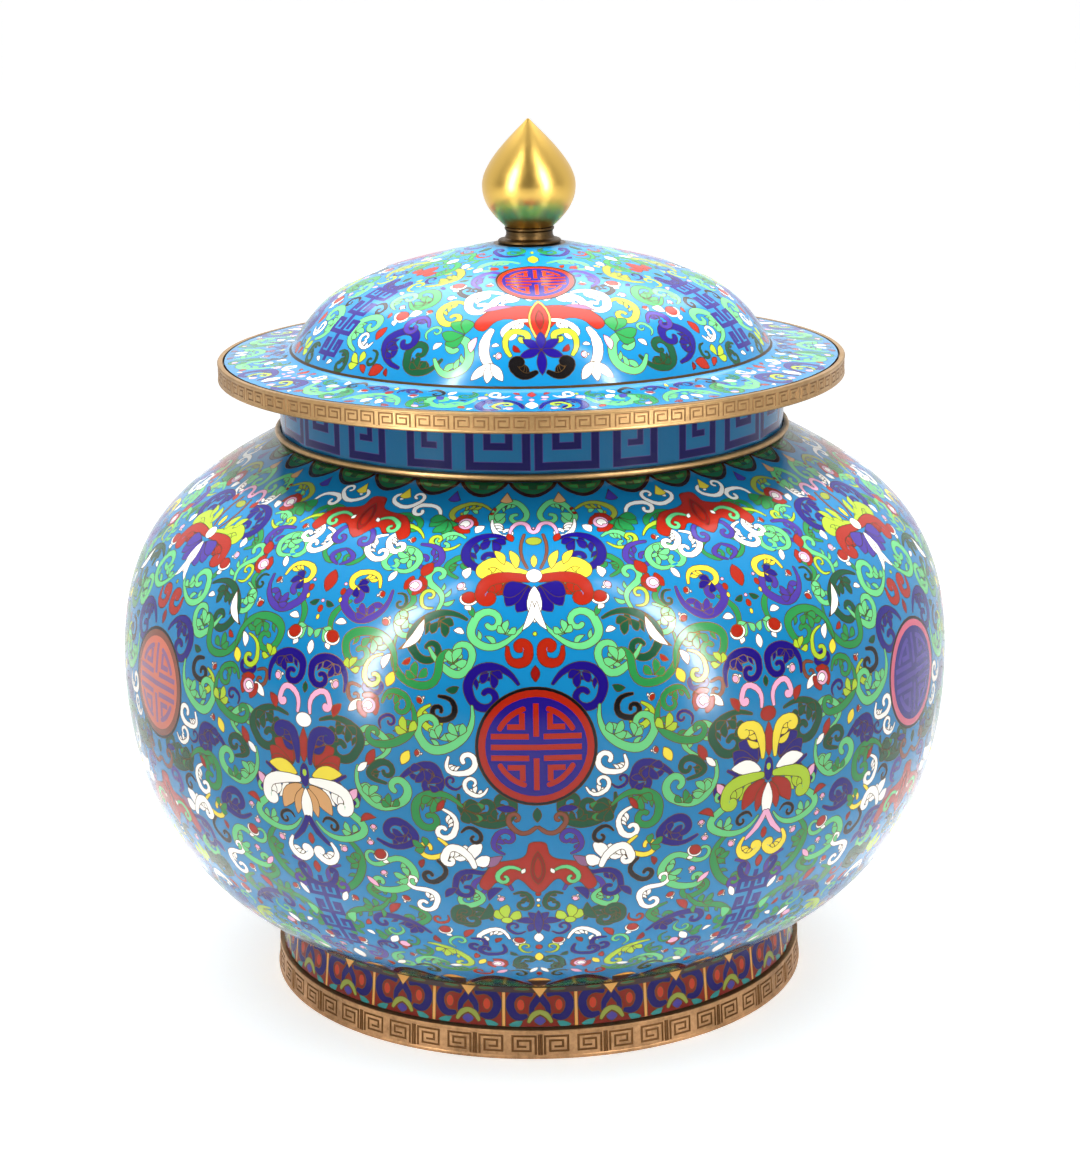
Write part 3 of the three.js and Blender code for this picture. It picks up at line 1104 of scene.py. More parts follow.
# colour, places along the middle, widths, then the size of the curl at the end and at the start
# (a plus curls to the left of the way drawn, a minus to the right)
bodyScrolls = [
    ("mint", [(1.4, 211), (3.8, 215.6), (7.4, 209.5)], (1.6, 2.3, 1.6), -0.8, -1.0),
    ("white", [(7.3, 206.5), (7.0, 203), (6.0, 200)], (1.0, 2.2, 1.4), -0.7),
    ("pink", [(0.8, 202.6), (1.3, 205.0), (2.7, 205.4), (3.8, 202.8), (4.0, 199.4)],
     (1.4, 1.7, 1.7, 1.1), 0, 0.5),
    ("darkGreen", [(9.4, 104.0), (6.6, 100.6), (3.6, 102.4), (3.0, 105.6)], (1.4, 2.8, 2.6, 1.8), -1.0),
    ("darkGreen", [(9.8, 110.4), (9.4, 104.6), (6.8, 103.2)], (1.2, 2.4, 1.8), -0.9),
    ("brown", [(0.2, 99.6), (1.8, 97.4), (3.4, 100.4)], (1.4, 1.8, 1.2), 0.7),
    ("darkGreen", [(6.4, 62.8), (7.6, 67.2), (10.4, 66.6), (10.6, 63.0)], (1.4, 2.6, 2.6, 1.8), -0.9),
    ("violet", [(3.4, 76.2), (4.6, 80.6), (7.6, 80.0)], (1.2, 2.0, 1.5), -0.9),
    ("mint", [(20.4, 120.4), (18.6, 124.8), (20.6, 130.0)], (1.3, 2.4, 1.4), -1.0),
    ("green", [(26.4, 170.6), (28.6, 163.6), (28.0, 158.6)], (1.2, 2.3, 1.4)),
    ("green", [(17.6, 66.6), (15.2, 62.4), (17.0, 58.4)], (1.2, 2.4, 1.4), 0.8),
    ("mint", [(9.0, 76.4), (7.2, 72.2), (8.8, 69.2)], (1.2, 2.3, 1.4), 0.8),
    ("green", [(21.2, 76.4), (23.4, 71.8), (21.6, 68.4)], (1.2, 2.4, 1.4), -0.9),
    ("darkGreen", [(19.2, 112.8), (21.6, 115.6), (20.2, 119.2)], (1.2, 2.4, 1.4), 0.9),
    ("lime", [(13.4, 139.4), (14.8, 136.2), (13.8, 132.6)], (1.2, 2.3, 1.4), -0.8),
    ("navy", [(20.4, 146.6), (22.4, 143.4), (21.2, 142.0)], (1.2, 2.0, 1.2), -0.7),
    ("green", [(11.4, 181.8), (13.4, 185.6), (11.9, 189.4)], (1.2, 2.3, 1.4), 0.9),
    ("mint", [(11.4, 198.4), (14.0, 200.2), (15.6, 197.2)], (1.2, 2.3, 1.4), -0.8),
    ("green", [(25.4, 206.6), (22.8, 207.6), (20.4, 205.0)], (1.2, 2.2, 1.4), 0.8),
    ("green", [(29.2, 192.6), (27.0, 188.0), (28.4, 184.6)], (1.0, 1.8, 1.2), 0.7),
    ("mint", [(16.6, 170.6), (19.0, 166.4), (18.6, 162.8)], (1.2, 2.2, 1.4), -0.8),
    ("navy", [(24.8, 113.4), (26.6, 109.2), (25.0, 104.8)], (1.2, 2.2, 1.4), -0.9),
    ("mint", [(0.3, 168.5), (1.3, 165.4), (3.2, 161), (6.0, 158.2), (8.4, 161.6), (8.1, 167.0)],
     (1.0, 1.6, 2.4, 2.8, 2.4, 1.8), 1.25),
    ("red", [(0.9, 157.8), (1.2, 153.8), (2.9, 153.4), (3.6, 158.2)], (1.8, 3.0, 3.0, 1.4), 0, 0.6),
    ("navy", [(4.4, 198.3), (7.4, 199.6), (10.4, 195.6), (10.5, 189.2), (9.1, 186.4)],
     (1.2, 2.6, 3.0, 2.4, 1.8), -1.25),
    ("olive", [(7.9, 211.6), (11.2, 214.4), (14.2, 211.8)], (1.1, 2.2, 1.6), -0.95),
    ("lime", [(18.4, 197.4), (19.6, 200.6), (21.7, 202.4)], (0.9, 2.0, 1.2), -0.7),
    ("lime", [(12.0, 195.4), (13.9, 192.8), (16.2, 194.2)], (0.9, 1.9, 1.2), 0.7),
    ("violet", [(18.2, 194.6), (14.6, 191.6), (14.4, 187.4), (16.2, 185.2)], (1.4, 2.2, 1.8, 1.4), 0.9),
    ("mint", [(22.0, 184.4), (18.6, 184.0), (17.8, 188.6), (20.0, 192.4), (22.6, 190.6)],
     (1.2, 2.2, 2.6, 2.2, 1.7), -1.1),
    ("white", [(22.2, 199.2), (24.2, 196.4), (23.6, 192.4)], (1.2, 2.4, 1.6), -0.8),
    ("white", [(24.9, 197.4), (27.2, 194.8), (27.2, 190.4), (25.6, 187.4)], (1.1, 2.2, 2.2, 1.4), -0.8),
    ("green", [(18.4, 169.6), (17.0, 172.6), (18.2, 176.4)], (0.9, 2.2, 1.1)),
    ("mint", [(13.5, 169.5), (13.0, 174.6), (14.6, 178.2)], (1.3, 2.3, 1.7), 1.1),
    ("darkGreen", [(9.2, 167.2), (12.2, 169.2), (15.4, 165.6), (16.6, 159.6), (15.6, 155.2)],
     (1.1, 2.6, 2.9, 2.4, 1.7), -1.2),
    ("mint", [(13.9, 157.4), (12.0, 151.8), (9.8, 149.2), (8.3, 153.4)], (1.2, 2.6, 2.4, 1.7), -1.1),
    ("green", [(12.4, 153.0), (13.2, 146.2), (16.8, 146.8), (18.6, 152.6), (18.6, 160.4)],
     (1.1, 2.4, 2.6, 2.2, 1.0), 0, -0.9),
    ("green", [(18.2, 149.6), (19.4, 158.2), (22.6, 161.4), (25.6, 158.0), (25.4, 154.2)],
     (1.2, 2.5, 2.9, 2.3, 1.8), -1.25),
    ("lime", [(20.2, 154.4), (22.0, 152.0), (22.4, 148.2)], (1.0, 2.0, 1.5), -0.9),
    ("navy", [(2.2, 146.8), (4.4, 151.6), (7.2, 151.4), (8.6, 146.6), (8.2, 142.2)],
     (1.2, 2.6, 3.0, 2.4, 1.8), -1.3),
    ("black", [(12.2, 142.4), (10.3, 140.4), (10.2, 136.8), (11.6, 134.9)], (1.2, 1.9, 1.9, 1.3), 0.8),
    ("mint", [(8.0, 139.6), (8.1, 133.2), (10.2, 127.0), (13.2, 125.2), (14.6, 128.8)],
     (1.1, 2.5, 3.0, 2.5, 1.8), 1.25),
    ("white", [(11.0, 122.9), (11.2, 118.8), (9.0, 117.8)], (1.2, 2.2, 1.6), -1.05),
    ("navy", [(17.6, 113.4), (15.6, 118.4), (13.0, 119.8), (12.1, 115.9)], (1.2, 2.5, 2.6, 1.7), 1.0),
    ("green", [(15.8, 139.4), (15.4, 132.2), (17.2, 127.4), (20.2, 125.6)], (1.2, 2.8, 2.4, 1.4), 0.9),
    ("brown", [(22.9, 143.6), (24.4, 144.2), (24.4, 140.6)], (1.0, 1.4, 1.0), -0.6),
    ("navy", [(25.0, 141.4), (25.2, 147.4), (27.6, 151.4), (30.0, 149.0), (30.1, 145.6)],
     (1.1, 2.5, 2.8, 2.2, 1.6), -0.95),
    ("violet", [(20.5, 175.6), (21.4, 168.2), (24.0, 164.7), (26.6, 167.4)], (1.1, 2.5, 2.8, 2.0), 1.25),
    ("yellow", [(22.6, 176.6), (23.6, 181.2), (26.0, 181.4)], (1.2, 2.3, 1.7), -1.0),
    ("white", [(16.9, 206.2), (17.8, 211.4), (20.8, 212.4)], (1.1, 2.0, 1.4), -0.8),
    ("white", [(22.0, 213.6), (24.4, 210.6), (26.9, 212.2)], (1.1, 2.0, 1.3), 0.7, 0.7),
    ("violet", [(30.4, 196.8), (28.4, 199.4), (27.3, 196.0)], (1.2, 2.0, 1.5), 0.8),
    ("violet", [(30.5, 183.4), (28.8, 186.4), (30.6, 189.6)], (1.0, 2.0, 1.2)),
    ("darkGreen", [(28.3, 131.2), (24.8, 132.0), (22.5, 127.2), (23.4, 121.2)],
     (1.1, 2.6, 2.9, 1.9), 1.25),
    ("mint", [(23.0, 117.6), (23.0, 110.8), (20.4, 104.6), (17.3, 106.6)], (1.2, 2.4, 2.9, 2.0), -1.25),
    ("green", [(9.4, 106.6), (12.2, 110.6), (15.2, 107.6), (15.4, 102.4)], (1.2, 2.7, 2.7, 1.9), -1.15),
    ("white", [(11.9, 105.4), (10.2, 101.6), (10.5, 97.4)], (1.2, 2.2, 1.6), 0.9),
    ("yellow", [(12.6, 94.8), (11.3, 91.2), (13.3, 87.8)], (1.2, 2.0, 1.5), 0.95),
    ("navy", [(20.8, 92.6), (17.8, 90.6), (15.6, 94.2), (16.8, 98.6)], (1.2, 2.4, 2.8, 1.9), -1.2),
    ("mint", [(20.6, 83.6), (17.4, 85.6), (16.2, 80.2), (17.8, 74.8), (21.0, 72.8)],
     (1.1, 2.0, 2.6, 2.6, 1.6), 0.8, -1.0),
    ("black", [(12.9, 86.4), (11.9, 83.0), (13.2, 78.6)], (1.2, 1.9, 1.3), 0.8),
    ("navy", [(7.4, 82.6), (10.2, 81.8), (10.9, 77.4)], (1.2, 2.2, 1.6), -1.0, 0.7),
    ("white", [(16.2, 74.8), (13.6, 72.6), (14.0, 67.8)], (1.2, 2.2, 1.5), 0.9, -0.8),
    ("darkGreen", [(9.3, 60.4), (11.6, 61.6), (11.6, 65.4)], (1.2, 2.2, 1.6), 0.9),
    ("white", [(4.2, 53.2), (5.4, 58.0), (8.2, 55.2)], (1.2, 2.2, 1.3), -0.6),
    ("navy", [(9.6, 52.6), (7.7, 51.6), (7.9, 48.2)], (1.2, 2.1, 1.5), 0.8),
    ("navy", [(5.2, 49.4), (5.0, 45.2), (7.4, 43.4)], (1.2, 2.1, 1.5), 0.8),
    ("navy", [(15.6, 54.2), (18.4, 59.6), (22.2, 60.8)], (1.2, 2.6, 1.4), -0.9),
    ("green", [(20.6, 68.6), (22.6, 63.6), (26.0, 61.6), (27.9, 57.8)], (1.2, 2.4, 2.4, 1.4), -1.0),
    ("green", [(25.4, 91.4), (23.6, 85.6), (24.0, 78.4), (26.2, 71.6)], (1.4, 2.8, 2.6, 1.3), 0.8),
    ("violet", [(27.1, 80.2), (29.3, 76.4), (28.6, 70.6)], (1.2, 2.1, 1.5), -0.8),
    ("mint", [(24.2, 100.4), (22.5, 95.4), (24.8, 91.3), (28.0, 91.8), (29.6, 95.8)],
     (1.2, 2.4, 2.7, 2.2, 1.0), 0, -1.0),
    ("mint", [(21.4, 39.6), (23.6, 36.4), (23.8, 31.4)], (1.2, 2.4, 1.5), -0.9),
    ("lime", [(16.4, 48.2), (12.6, 44.6), (10.8, 38.6)], (1.2, 2.6, 1.5), 0.9),
    ("violet", [(27.4, 40.4), (25.0, 38.4), (25.8, 33.6)], (1.2, 2.2, 1.5), 0.8),
    ("mint", [(14.6, 35.6), (17.4, 38.4), (19.6, 34.8)], (1.2, 2.2, 1.5), -0.8),
    ("darkGreen", [(1.0, 31.6), (3.6, 35.4), (3.2, 40.0)], (1.2, 2.4, 1.5), 0.8),
    ("green", [(10.2, 32.6), (12.4, 29.0), (15.6, 30.6)], (1.2, 2.2, 1.5), 0.8),
    ("darkGreen", [(20.6, 29.6), (18.2, 31.6), (17.2, 28.6)], (1.2, 2.0, 1.4), 0.7),
]

# colour, root, tip, width and any bend
bodyPetals = [
    ("red", (3.4, 196.8), (4.4, 200.6), 2.2),
    ("mint", (4.9, 210.0), (6.5, 205.6), 2.7, 0.2),
    ("white", (9.6, 186.2), (10.1, 181.4), 2.6, 0.1),
    ("white", (8.4, 204.0), (9.9, 200.4), 2.6, 0.1),
    ("green", (9.0, 172.0), (8.3, 167.8), 1.8),
    ("white", (15.2, 168.2), (18.2, 156.2), 2.6, -0.18),
    ("yellow", (18.4, 149.4), (19.2, 144.2), 2.8),
    ("white", (19.0, 155.0), (20.0, 149.6), 2.3, 0.1),
    ("yellow", (16.0, 124.6), (17.1, 119.4), 2.7),
    ("white", (22.5, 139.8), (24.4, 135.2), 2.5),
    ("red", (25.3, 137.4), (26.5, 132.4), 2.5, 0.1),
    ("white", (21.7, 178.8), (20.7, 183.4), 2.1),
    ("red", (15.5, 187.4), (16.8, 181.6), 3.4),
    ("red", (20.6, 124.0), (21.8, 118.0), 2.6),
    ("pink", (23.2, 109.8), (24.5, 105.0), 2.5),
    ("red", (20.7, 100.4), (23.1, 98.0), 2.2, 0.2),
    ("red", (11.6, 108.8), (12.7, 104.2), 1.9),
    ("navy", (5.2, 106.4), (2.4, 105.8), 2.2),
    ("navy", (4.6, 76.8), (6.6, 71.2), 2.5, 0.2),
    ("darkGreen", (6.5, 70.4), (8.3, 62.4), 2.9, -0.2),
    ("white", (0, 56.6), (0, 51.0), 2.8),
    ("white", (21.0, 50.6), (22.6, 45.6), 2.5),
    ("red", (9.0, 57.6), (10.7, 52.8), 2.2, 0.1),
    ("red", (19.0, 67.4), (20.9, 62.2), 2.5, 0.1),
    ("white", (26.9, 69.6), (28.0, 64.4), 2.1),
    ("mint", (26.6, 60.0), (27.5, 54.0), 2.9, 0.2),
    ("white", (21.6, 119.4), (23.1, 115.6), 2.1),
    ("pink", (21.6, 73.6), (23.3, 77.8), 1.9),
    ("navy", (10.6, 76.2), (12.5, 71.8), 2.2, 0.1),
    ("yellow", (8.2, 40.0), (9.5, 35.6), 2.2),
    ("white", (22.2, 32.8), (24.2, 28.6), 2.3),
    ("white", (12.2, 34.0), (14.6, 33.2), 1.9),
    ("pink", (5.0, 31.6), (7.2, 28.0), 2.1),
    ("red", (26.6, 31.4), (28.8, 28.4), 2.1),
    ("yellow", (0.0, 45.0), (0.0, 39.0), 2.6),
    ("white", (1.6, 29.0), (0.2, 34.0), 1.9),
]

# colour, root, direction in degrees, length and the number of lobes where it isn't three
bodyLeaves = [
    ("green", (8.6, 104.2), 150, 5.4),
    ("darkGreen", (5.0, 101.8), 80, 4.0),
    ("mint", (17.4, 166.6), -20, 4.2),
    ("navy", (26.2, 176.0), -160, 4.6),
    ("green", (14.4, 91.2), 30, 4.4),
    ("mint", (29.6, 160.6), -110, 4.4),
    ("green", (22.6, 49.0), 40, 4.6),
    ("mint", (12.2, 128.6), 100, 4.4),
    ("darkGreen", (27.4, 127.2), -150, 4.4),
    ("lime", (24.6, 148.6), 120, 4.2),
    ("navy", (13.6, 113.6), 160, 4.4),
    ("green", (18.6, 104.8), 80, 4.2),
    ("mint", (3.8, 162.6), 95, 4.2),
    ("navy", (6.9, 197.6), -110, 5.4),
    ("green", (15.2, 206.4), -60, 6.6, 5),
    ("darkGreen", (12.9, 166.4), -115, 5.2),
    ("mint", (10.6, 152.8), 118, 5.0),
    ("green", (15.2, 147.6), 80, 4.8),
    ("green", (22.0, 159.4), -100, 4.8),
    ("navy", (5.8, 150.4), -105, 4.8),
    ("mint", (9.6, 129.8), 55, 4.8),
    ("navy", (14.2, 118.8), -60, 5.0),
    ("lime", (16.2, 130.2), 70, 5.0),
    ("navy", (27.0, 149.8), -75, 4.4),
    ("violet", (23.4, 166.2), 55, 4.6),
    ("mint", (19.4, 189.2), 15, 4.6),
    ("darkGreen", (24.6, 130.4), -95, 5.0),
    ("mint", (21.6, 107.4), 130, 4.8),
    ("green", (13.0, 109.2), -80, 5.0),
    ("darkGreen", (9.2, 105.6), -160, 5.6, 4),
    ("navy", (17.0, 94.6), 30, 4.4),
    ("mint", (17.2, 79.0), 15, 4.6),
    ("green", (24.0, 82.6), 20, 4.4),
    ("mint", (24.4, 93.4), 60, 4.2),
    ("navy", (17.6, 57.4), -60, 4.6),
    ("green", (23.2, 64.0), 50, 4.4),
    ("lime", (14.0, 45.6), -80, 4.8),
    ("red", (7.0, 210.4), 20, 2.4, 2),
    ("mint", (11.6, 211.0), -100, 3.4, 2),
    ("darkGreen", (2.4, 34.6), 20, 3.8),
    ("mint", (17.0, 36.6), -80, 3.6),
    ("green", (28.6, 50.4), -150, 4.4),
]

# centre, size, turn, then the colours of bud and sepals where they aren't red and white
bodyBuds = [
    ((9.2, 174.6), 2.25, 0),
    ((27.8, 158.2), 2.2, 20),
    ((20.7, 87.0), 2.0, -30),
    ((2.8, 52.2), 1.7, 20),
    ((13.3, 56.6), 1.9, -20),
    ((20.4, 45.8), 1.8, 15, "pink", "red"),
    ((28.0, 44.0), 1.7, -15),
]

# centre, size, turn
bodyBlossoms = [
    ((11.8, 204.6), 2.7, -10),
    ((21.5, 137.8), 2.6, 30),
    ((17.3, 178.2), 2.4, 80),
    ((6.4, 36.6), 2.3, 40),
]

# colour, centre, half width, half height where it differs
bodyDots = [
    ("lime", (0, 162.6), 0.9),
    ("red", (0, 48.4), 1.3, 1.5),
    ("red", (28.1, 173.6), 1.1, 1.4),
    ("pink", (28.1, 176.4), 0.8),
    ("yellow", (28.1, 170.6), 0.8, 1.1),
    ("red", (30.8, 166.8), 1.1, 1.4),
    ("pink", (30.8, 169.6), 0.8),
    ("yellow", (30.8, 164.0), 0.8, 1.1),
    ("red", (0, 74.4), 1.1),
    ("white", (0, 71.8), 0.9),
    ("yellow", (0, 69.4), 0.8),
]

leafScale = 1.15  # all leaves of the table above
batScale = 1.12


def bodyMotifs(r):
    squeeze = flowerAngle / mapAngle

    def at(place):
        return (place[0] * squeeze, place[1])

    for colour, places, *rest in bodyScrolls:
        r.scroll(colour, [at(p) for p in places], *rest)
    for colour, root, turn, size, *lobes in bodyLeaves:
        r.leafFan(colour, at(root), turn, size * leafScale, *lobes)
    for colour, root, tip, *rest in bodyPetals:
        r.petal(colour, at(root), at(tip), *rest)
    for place, *rest in bodyBuds:
        r.bud(at(place), *rest)
    for place, *rest in bodyBlossoms:
        r.blossom(at(place), *rest)
    for colour, place, *rest in bodyDots:
        r.oval(colour, at(place), *rest)
    bat(r, (flowerAngle, 205.0), -1)
    bat(r, (0, 85.0), 1)
    risingLotus(r, (0, 183.0))
    hangingLotus(r, (flowerAngle, 111.5), -1)
    batClouds(r, (0, 85.0))
    knot(r, (0, 61.0))
    fretRoundel(r, (0, 126.6), 19.4)
    fretColumn(r, (flowerAngle, 56.0), 33.0, 11.0)
    lappetRows(r)
    r.fill(26.0, 214.0, 2.1, 5.4)


def risingLotus(r, centre):
    # The open flower over each roundel, right half
    at = r.near(centre)
    r.scroll("brown", [at(2.2, 3), at(4.4, 9), at(3.4, 17)], (1.0, 1.1))
    r.scroll("riseArm", [at(2.0, 0.5), at(8.0, 2.6), at(13.0, 5.4), at(16.6, 3.4)],
             (2.6, 4.0, 3.2, 1.8), -0.6)
    r.petal("riseArm", at(5.6, 2.4), at(8.4, 10.4), 2.6, 0.08)
    r.petal("riseArm", at(9.6, 4.2), at(13.6, 10.2), 2.4, 0.08)
    r.scroll("red", [at(2.0, -1.2), at(9.0, -0.6), at(14.8, -2.4), at(16.4, -6.6)],
             (2.8, 4.0, 3.6, 2.2), -0.7)
    r.petal("red", at(5.0, -2.8), at(11.4, -6.4), 2.2, -0.1)
    r.leafFan("riseLeaf", at(1.6, -3.6), -58, 11.0, 4, 66)
    r.petal("white", at(0, -3.6), at(0, -17.0), 4.0)
    r.petal("white", at(0.8, -9.0), at(3.8, -19.4), 2.2, -0.14)
    r.petal("yellow", at(0, 3.0), at(0, 8.6), 2.0)
    r.oval("olive", at(0, 14.2), 2.8, 1.9)
    r.oval("white", at(0, 0), 2.7)


def hangingLotus(r, centre, side):
    # The flower between two roundels, one half of it
    at = r.near(centre, side)
    r.leafFan("hangLeaf", at(4.0, 3.4), 90 + side * -55, 11.5, 4, 60)
    r.petal("hangSide", at(2.6, 0.2), at(14.4, 2.4), 4.2, 0.06 * side)
    r.scroll("hangArm", [at(2.6, -1.6), at(9.6, -2.2), at(14.8, -4.2), at(16.2, -8.4)],
             (2.4, 4.0, 3.2, 1.8), -0.65 * side)
    r.petal("hangLower", at(1.2, -3.0), at(9.6, -12.8), 4.6, 0.08 * side)
    r.petal("hangLower", at(0.8, -4.0), at(4.0, -14.4), 3.0, 0.05 * side)
    r.petal("white", at(0, -4.0), at(0, -17.6), 3.6)
    r.scroll("hangLeg", [at(0.5, -15.0), at(2.8, -19.4), at(7.0, -23.6)], (2.0, 2.2, 1.4))
    r.scroll("hangFoot", [at(7.8, -23.2), at(9.2, -27.8), at(5.6, -31.0), at(1.8, -28.8)],
             (1.4, 2.4, 2.6, 1.8), -0.5 * side)
    r.petal("red", at(0, 16.4), at(0, 4.2), 3.0)
    r.scroll("hangHorn", [at(2.4, 4.6), at(2.9, 10.6), at(5.0, 15.4), at(8.6, 16.0)],
             (1.6, 3.2, 3.0, 2.0), -0.55 * side)
    r.scroll("hangFeeler", [at(2.4, 21.4), at(3.4, 27.4), at(7.2, 29.2), at(9.8, 25.0)],
             (1.4, 2.0, 2.0, 1.5), -0.4 * side)
    r.oval("hangBud", at(0, 18.8), 3.2, 2.6)
    r.oval("navy", at(0, 0.2), 1.9, 4.2)
    r.oval("lime", at(0, 1.0), 0.8, 1.2, wired=False)


def batClouds(r, centre):
    # White curls at the lower bat's wings
    at = r.near(centre)
    r.petal("mauve", at(11.0, 4.4), at(19.6, 1.2), 3.0, -0.12)
    r.leafFan("white", at(21.6, 1.2), 118, 8.6, 3, 80)
    r.scroll("white", [at(20.4, 0.0), at(23.0, 5.0), at(27.0, 7.0), at(30.0, 3.6)],
             (2.0, 2.8, 2.4, 1.6), -0.6)


def knot(r, centre):
    # A small four-lobed knot with yellow flames beside it
    at = r.near(centre)
    for x, y in ((7.6, 1.2), (3.4, 5.4), (3.4, -4.2)):
        r.petal("navy", at(0, 0.4), at(x, y), 2.6, 0.1)
    r.petal("navy", at(0, 6.4), at(0, -5.4), 2.6)
    r.leafFan("lime", at(10.0, 1.6), 92, 7.4, 3, 80)
    r.oval("lime", at(10.2, 1.6), 2.0, 1.6)


def lappetRows(r):
    # Green lappets under the neck and over the foot band, small points between them
    for j in range(4):
        lappet(r, 10.0 * j, 225.1, 217.4, 10.0)
    for j, colour in enumerate(("peach", "violet", "yellow")):
        triangle(r, colour, 10.0 * j + 5.0, 220.4, 215.6, 4.6)
    for j in range(2):
        lappet(r, 15.0 * j + 7.5, 2.2, 25.0, 15.0)
    for j in range(3):
        triangle(r, "amber", 15.0 * j, 2.0, 19.0, 8.6)


def lappet(r, middle, base, tip, step):
    size = math.radians(step) * float(r.line.radius((base + tip) / 2))
    t = np.linspace(-1, 1, 19)
    # the middle colour, lappet, is darkened as painted shade
    for colour, share, depth in (("lappetEdge", 1.0, 1.0), ("lappet", 0.86, 0.8), ("darkGreen", 0.5, 0.5)):
        y = base + (tip - base) * depth * np.cos(t * np.pi / 2) ** 0.7
        r.cell(colour, np.stack([t * share * size / 2, y], 1), middle)
    for side in (-1, 1):
        x = side * np.array([0.16, 0.62, 0.5, 0.14]) * size / 2
        y = base + (tip - base) * np.array([0.2, 0.16, 0.42, 0.5])
        r.cell("green", np.stack([x, y], 1), middle)


def triangle(r, colour, middle, tip, base, width):
    t = np.linspace(-1, 1, 9)
    x = np.concatenate([[0.0], t * width / 2])
    y = np.concatenate([[tip], base - (tip - base) * 0.22 * (1 - t ** 2)])
    r.cell(colour, np.stack([x, y], 1), middle)


def bat(r, centre, side):
    # A bat seen from above, with drooping wings; `side` is where its free half lies
    spot = r.near(centre, side)
    sizes = (side * batScale, batScale)
    r.blob("red", centre, *sizes, [
        (-0.6, 8.6), (2.6, 7.8), (3.4, 4.6), (7.2, 2.6), (12.0, 1.6), (15.6, -2.6), (16.6, -7.4),
        (14.6, -8.4), (11.6, -5.4), (8.6, -6.6), (6.0, -4.2), (3.8, -5.6), (1.6, -8.4), (-0.6, -9.6)])
    r.scroll("mint", [spot(5.2, -1.2), spot(9.2, 0.2), spot(12.2, -1.8)], (1.2, 1.9, 1.3), -0.7 * side)
    r.petal("white", spot(4.0, -0.2), spot(5.4, -2.6), 1.5)
    r.blob("crimson", centre, *sizes, [(-0.4, 6.2), (1.5, 3.0), (2.2, -0.6), (1.2, -4.8), (-0.4, -6.6)])
    r.blob("red", centre, *sizes, [(-0.4, 4.2), (0.9, 2.0), (1.3, -0.6), (0.7, -3.4), (-0.4, -4.6)])


def fretRoundel(r, centre, radius):
    # A round badge filled with a plain symmetrical key fret
    r.oval("black", centre, radius)
    for colour, share in (("roundelRim", 0.945), ("roundel", 0.83)):
        r.oval(colour, centre, radius * share, wired=False, count=40)
    g = radius / 19.4
    w = 1.8 * g

    def line(*points):
        r.bar("fret", [(x * g, y * g) for x, y in points], w, centre, False)

    line((-13.4, 0), (13.4, 0))
    for up in (-1, 1):
        line((0, up * 4.4), (0, up * 13.2))
        for side in (-1, 1):
            line((side * 3.2, up * 3.5), (side * 13.4, up * 3.5))
            line((side * 4.4, up * 10.2), (side * 4.4, up * 6.6), (side * 8.2, up * 6.6))
            t = np.radians(np.linspace(up * (90 - side * 62), up * (90 - side * 18), 16))
            path = np.stack([12.9 * g * np.cos(t), 12.9 * g * np.sin(t) + centre[1]], 1)
            r.cell("fret", ribbon(path, (w, w)), centre[0], False)


def fretColumn(r, centre, height, width):
    # A tall ladder of key frets in one colour, with two horns at its head
    half = width / 2
    w = 1.5 * width / 9
    rows = 4
    pitch = height / rows
    r.bar("violetDark", [(0, -height / 2), (0, height / 2 + 1)], w, centre, False)
    at = r.near(centre, -1)
    horn = [at(0.3, height / 2 - 2), at(half * 0.9, height / 2), at(half * 1.2, height / 2 + 4)]
    r.scroll("violetDark", horn, (w, w * 1.2, w * 0.8), -0.35)
    for j in range(rows):
        y = (j + 0.5) * pitch - height / 2
        for side in (-1, 1):
            out, back = side * half * (1.0 if j % 2 else 0.8), side * 0.24 * width
            r.bar("violetDark", [(0, y - 0.3 * pitch), (out, y - 0.3 * pitch), (out, y + 0.28 * pitch),
                                 (back, y + 0.28 * pitch), (back, y - 0.02 * pitch)], w * 0.9, centre, False)


# Pieces

body = {
    "names": ["bodyFoot", "bodyLower", "bodyMiddle", "bodyUpper", "bodyShoulder"],
    "levels": [0.45, 63.0, 99.0, 137.0, 177.0, belly.length - 0.45],  # up the outline, between the pieces
    "insideSteps": 8,
    "neckSpan": 30.0,
    "shoulderInside": 2.5,  # how far below the neck the inner wall starts
    "footBandSpan": 7.5,
    "footBandCopies": 48,
    "floorRadii": [93.9, 60, 20],
}

brim = {
    "cove": [(89.0, 0.1), (87.4, 0.5)],  # radius, and rise over the brim
    "domeFoot": 86.3,
    "underDome": 8,  # radius of the flat spot inside the dome
    "domeSpan": 60.0,
    "domeCopies": 6,
}


def registers(line, span, levels, groundName, motifs):
    # One unit for each stretch between the levels, all cut from one drawing
    source = Register(line, span, levels[0], levels[-1], groundName)
    motifs(source)
    made = []
    for low, high in zip(levels[:-1], levels[1:]):
        register = Register(line, span, low, high, groundName)
        register.cells = [(colour, loop) for colour, loop in source.cells
                          if loop[:, 1].max() > low and loop[:, 1].min() < high]
        made.append(register)
    return made


def insideAt(s):
    # The inner wall's radius and height beside a level of the outline
    at, normal = belly.place(0.0, s)
    return (float(-at[1] / mm + normal[1] * jar["wall"]), float(at[2] / mm - normal[2] * jar["wall"]))


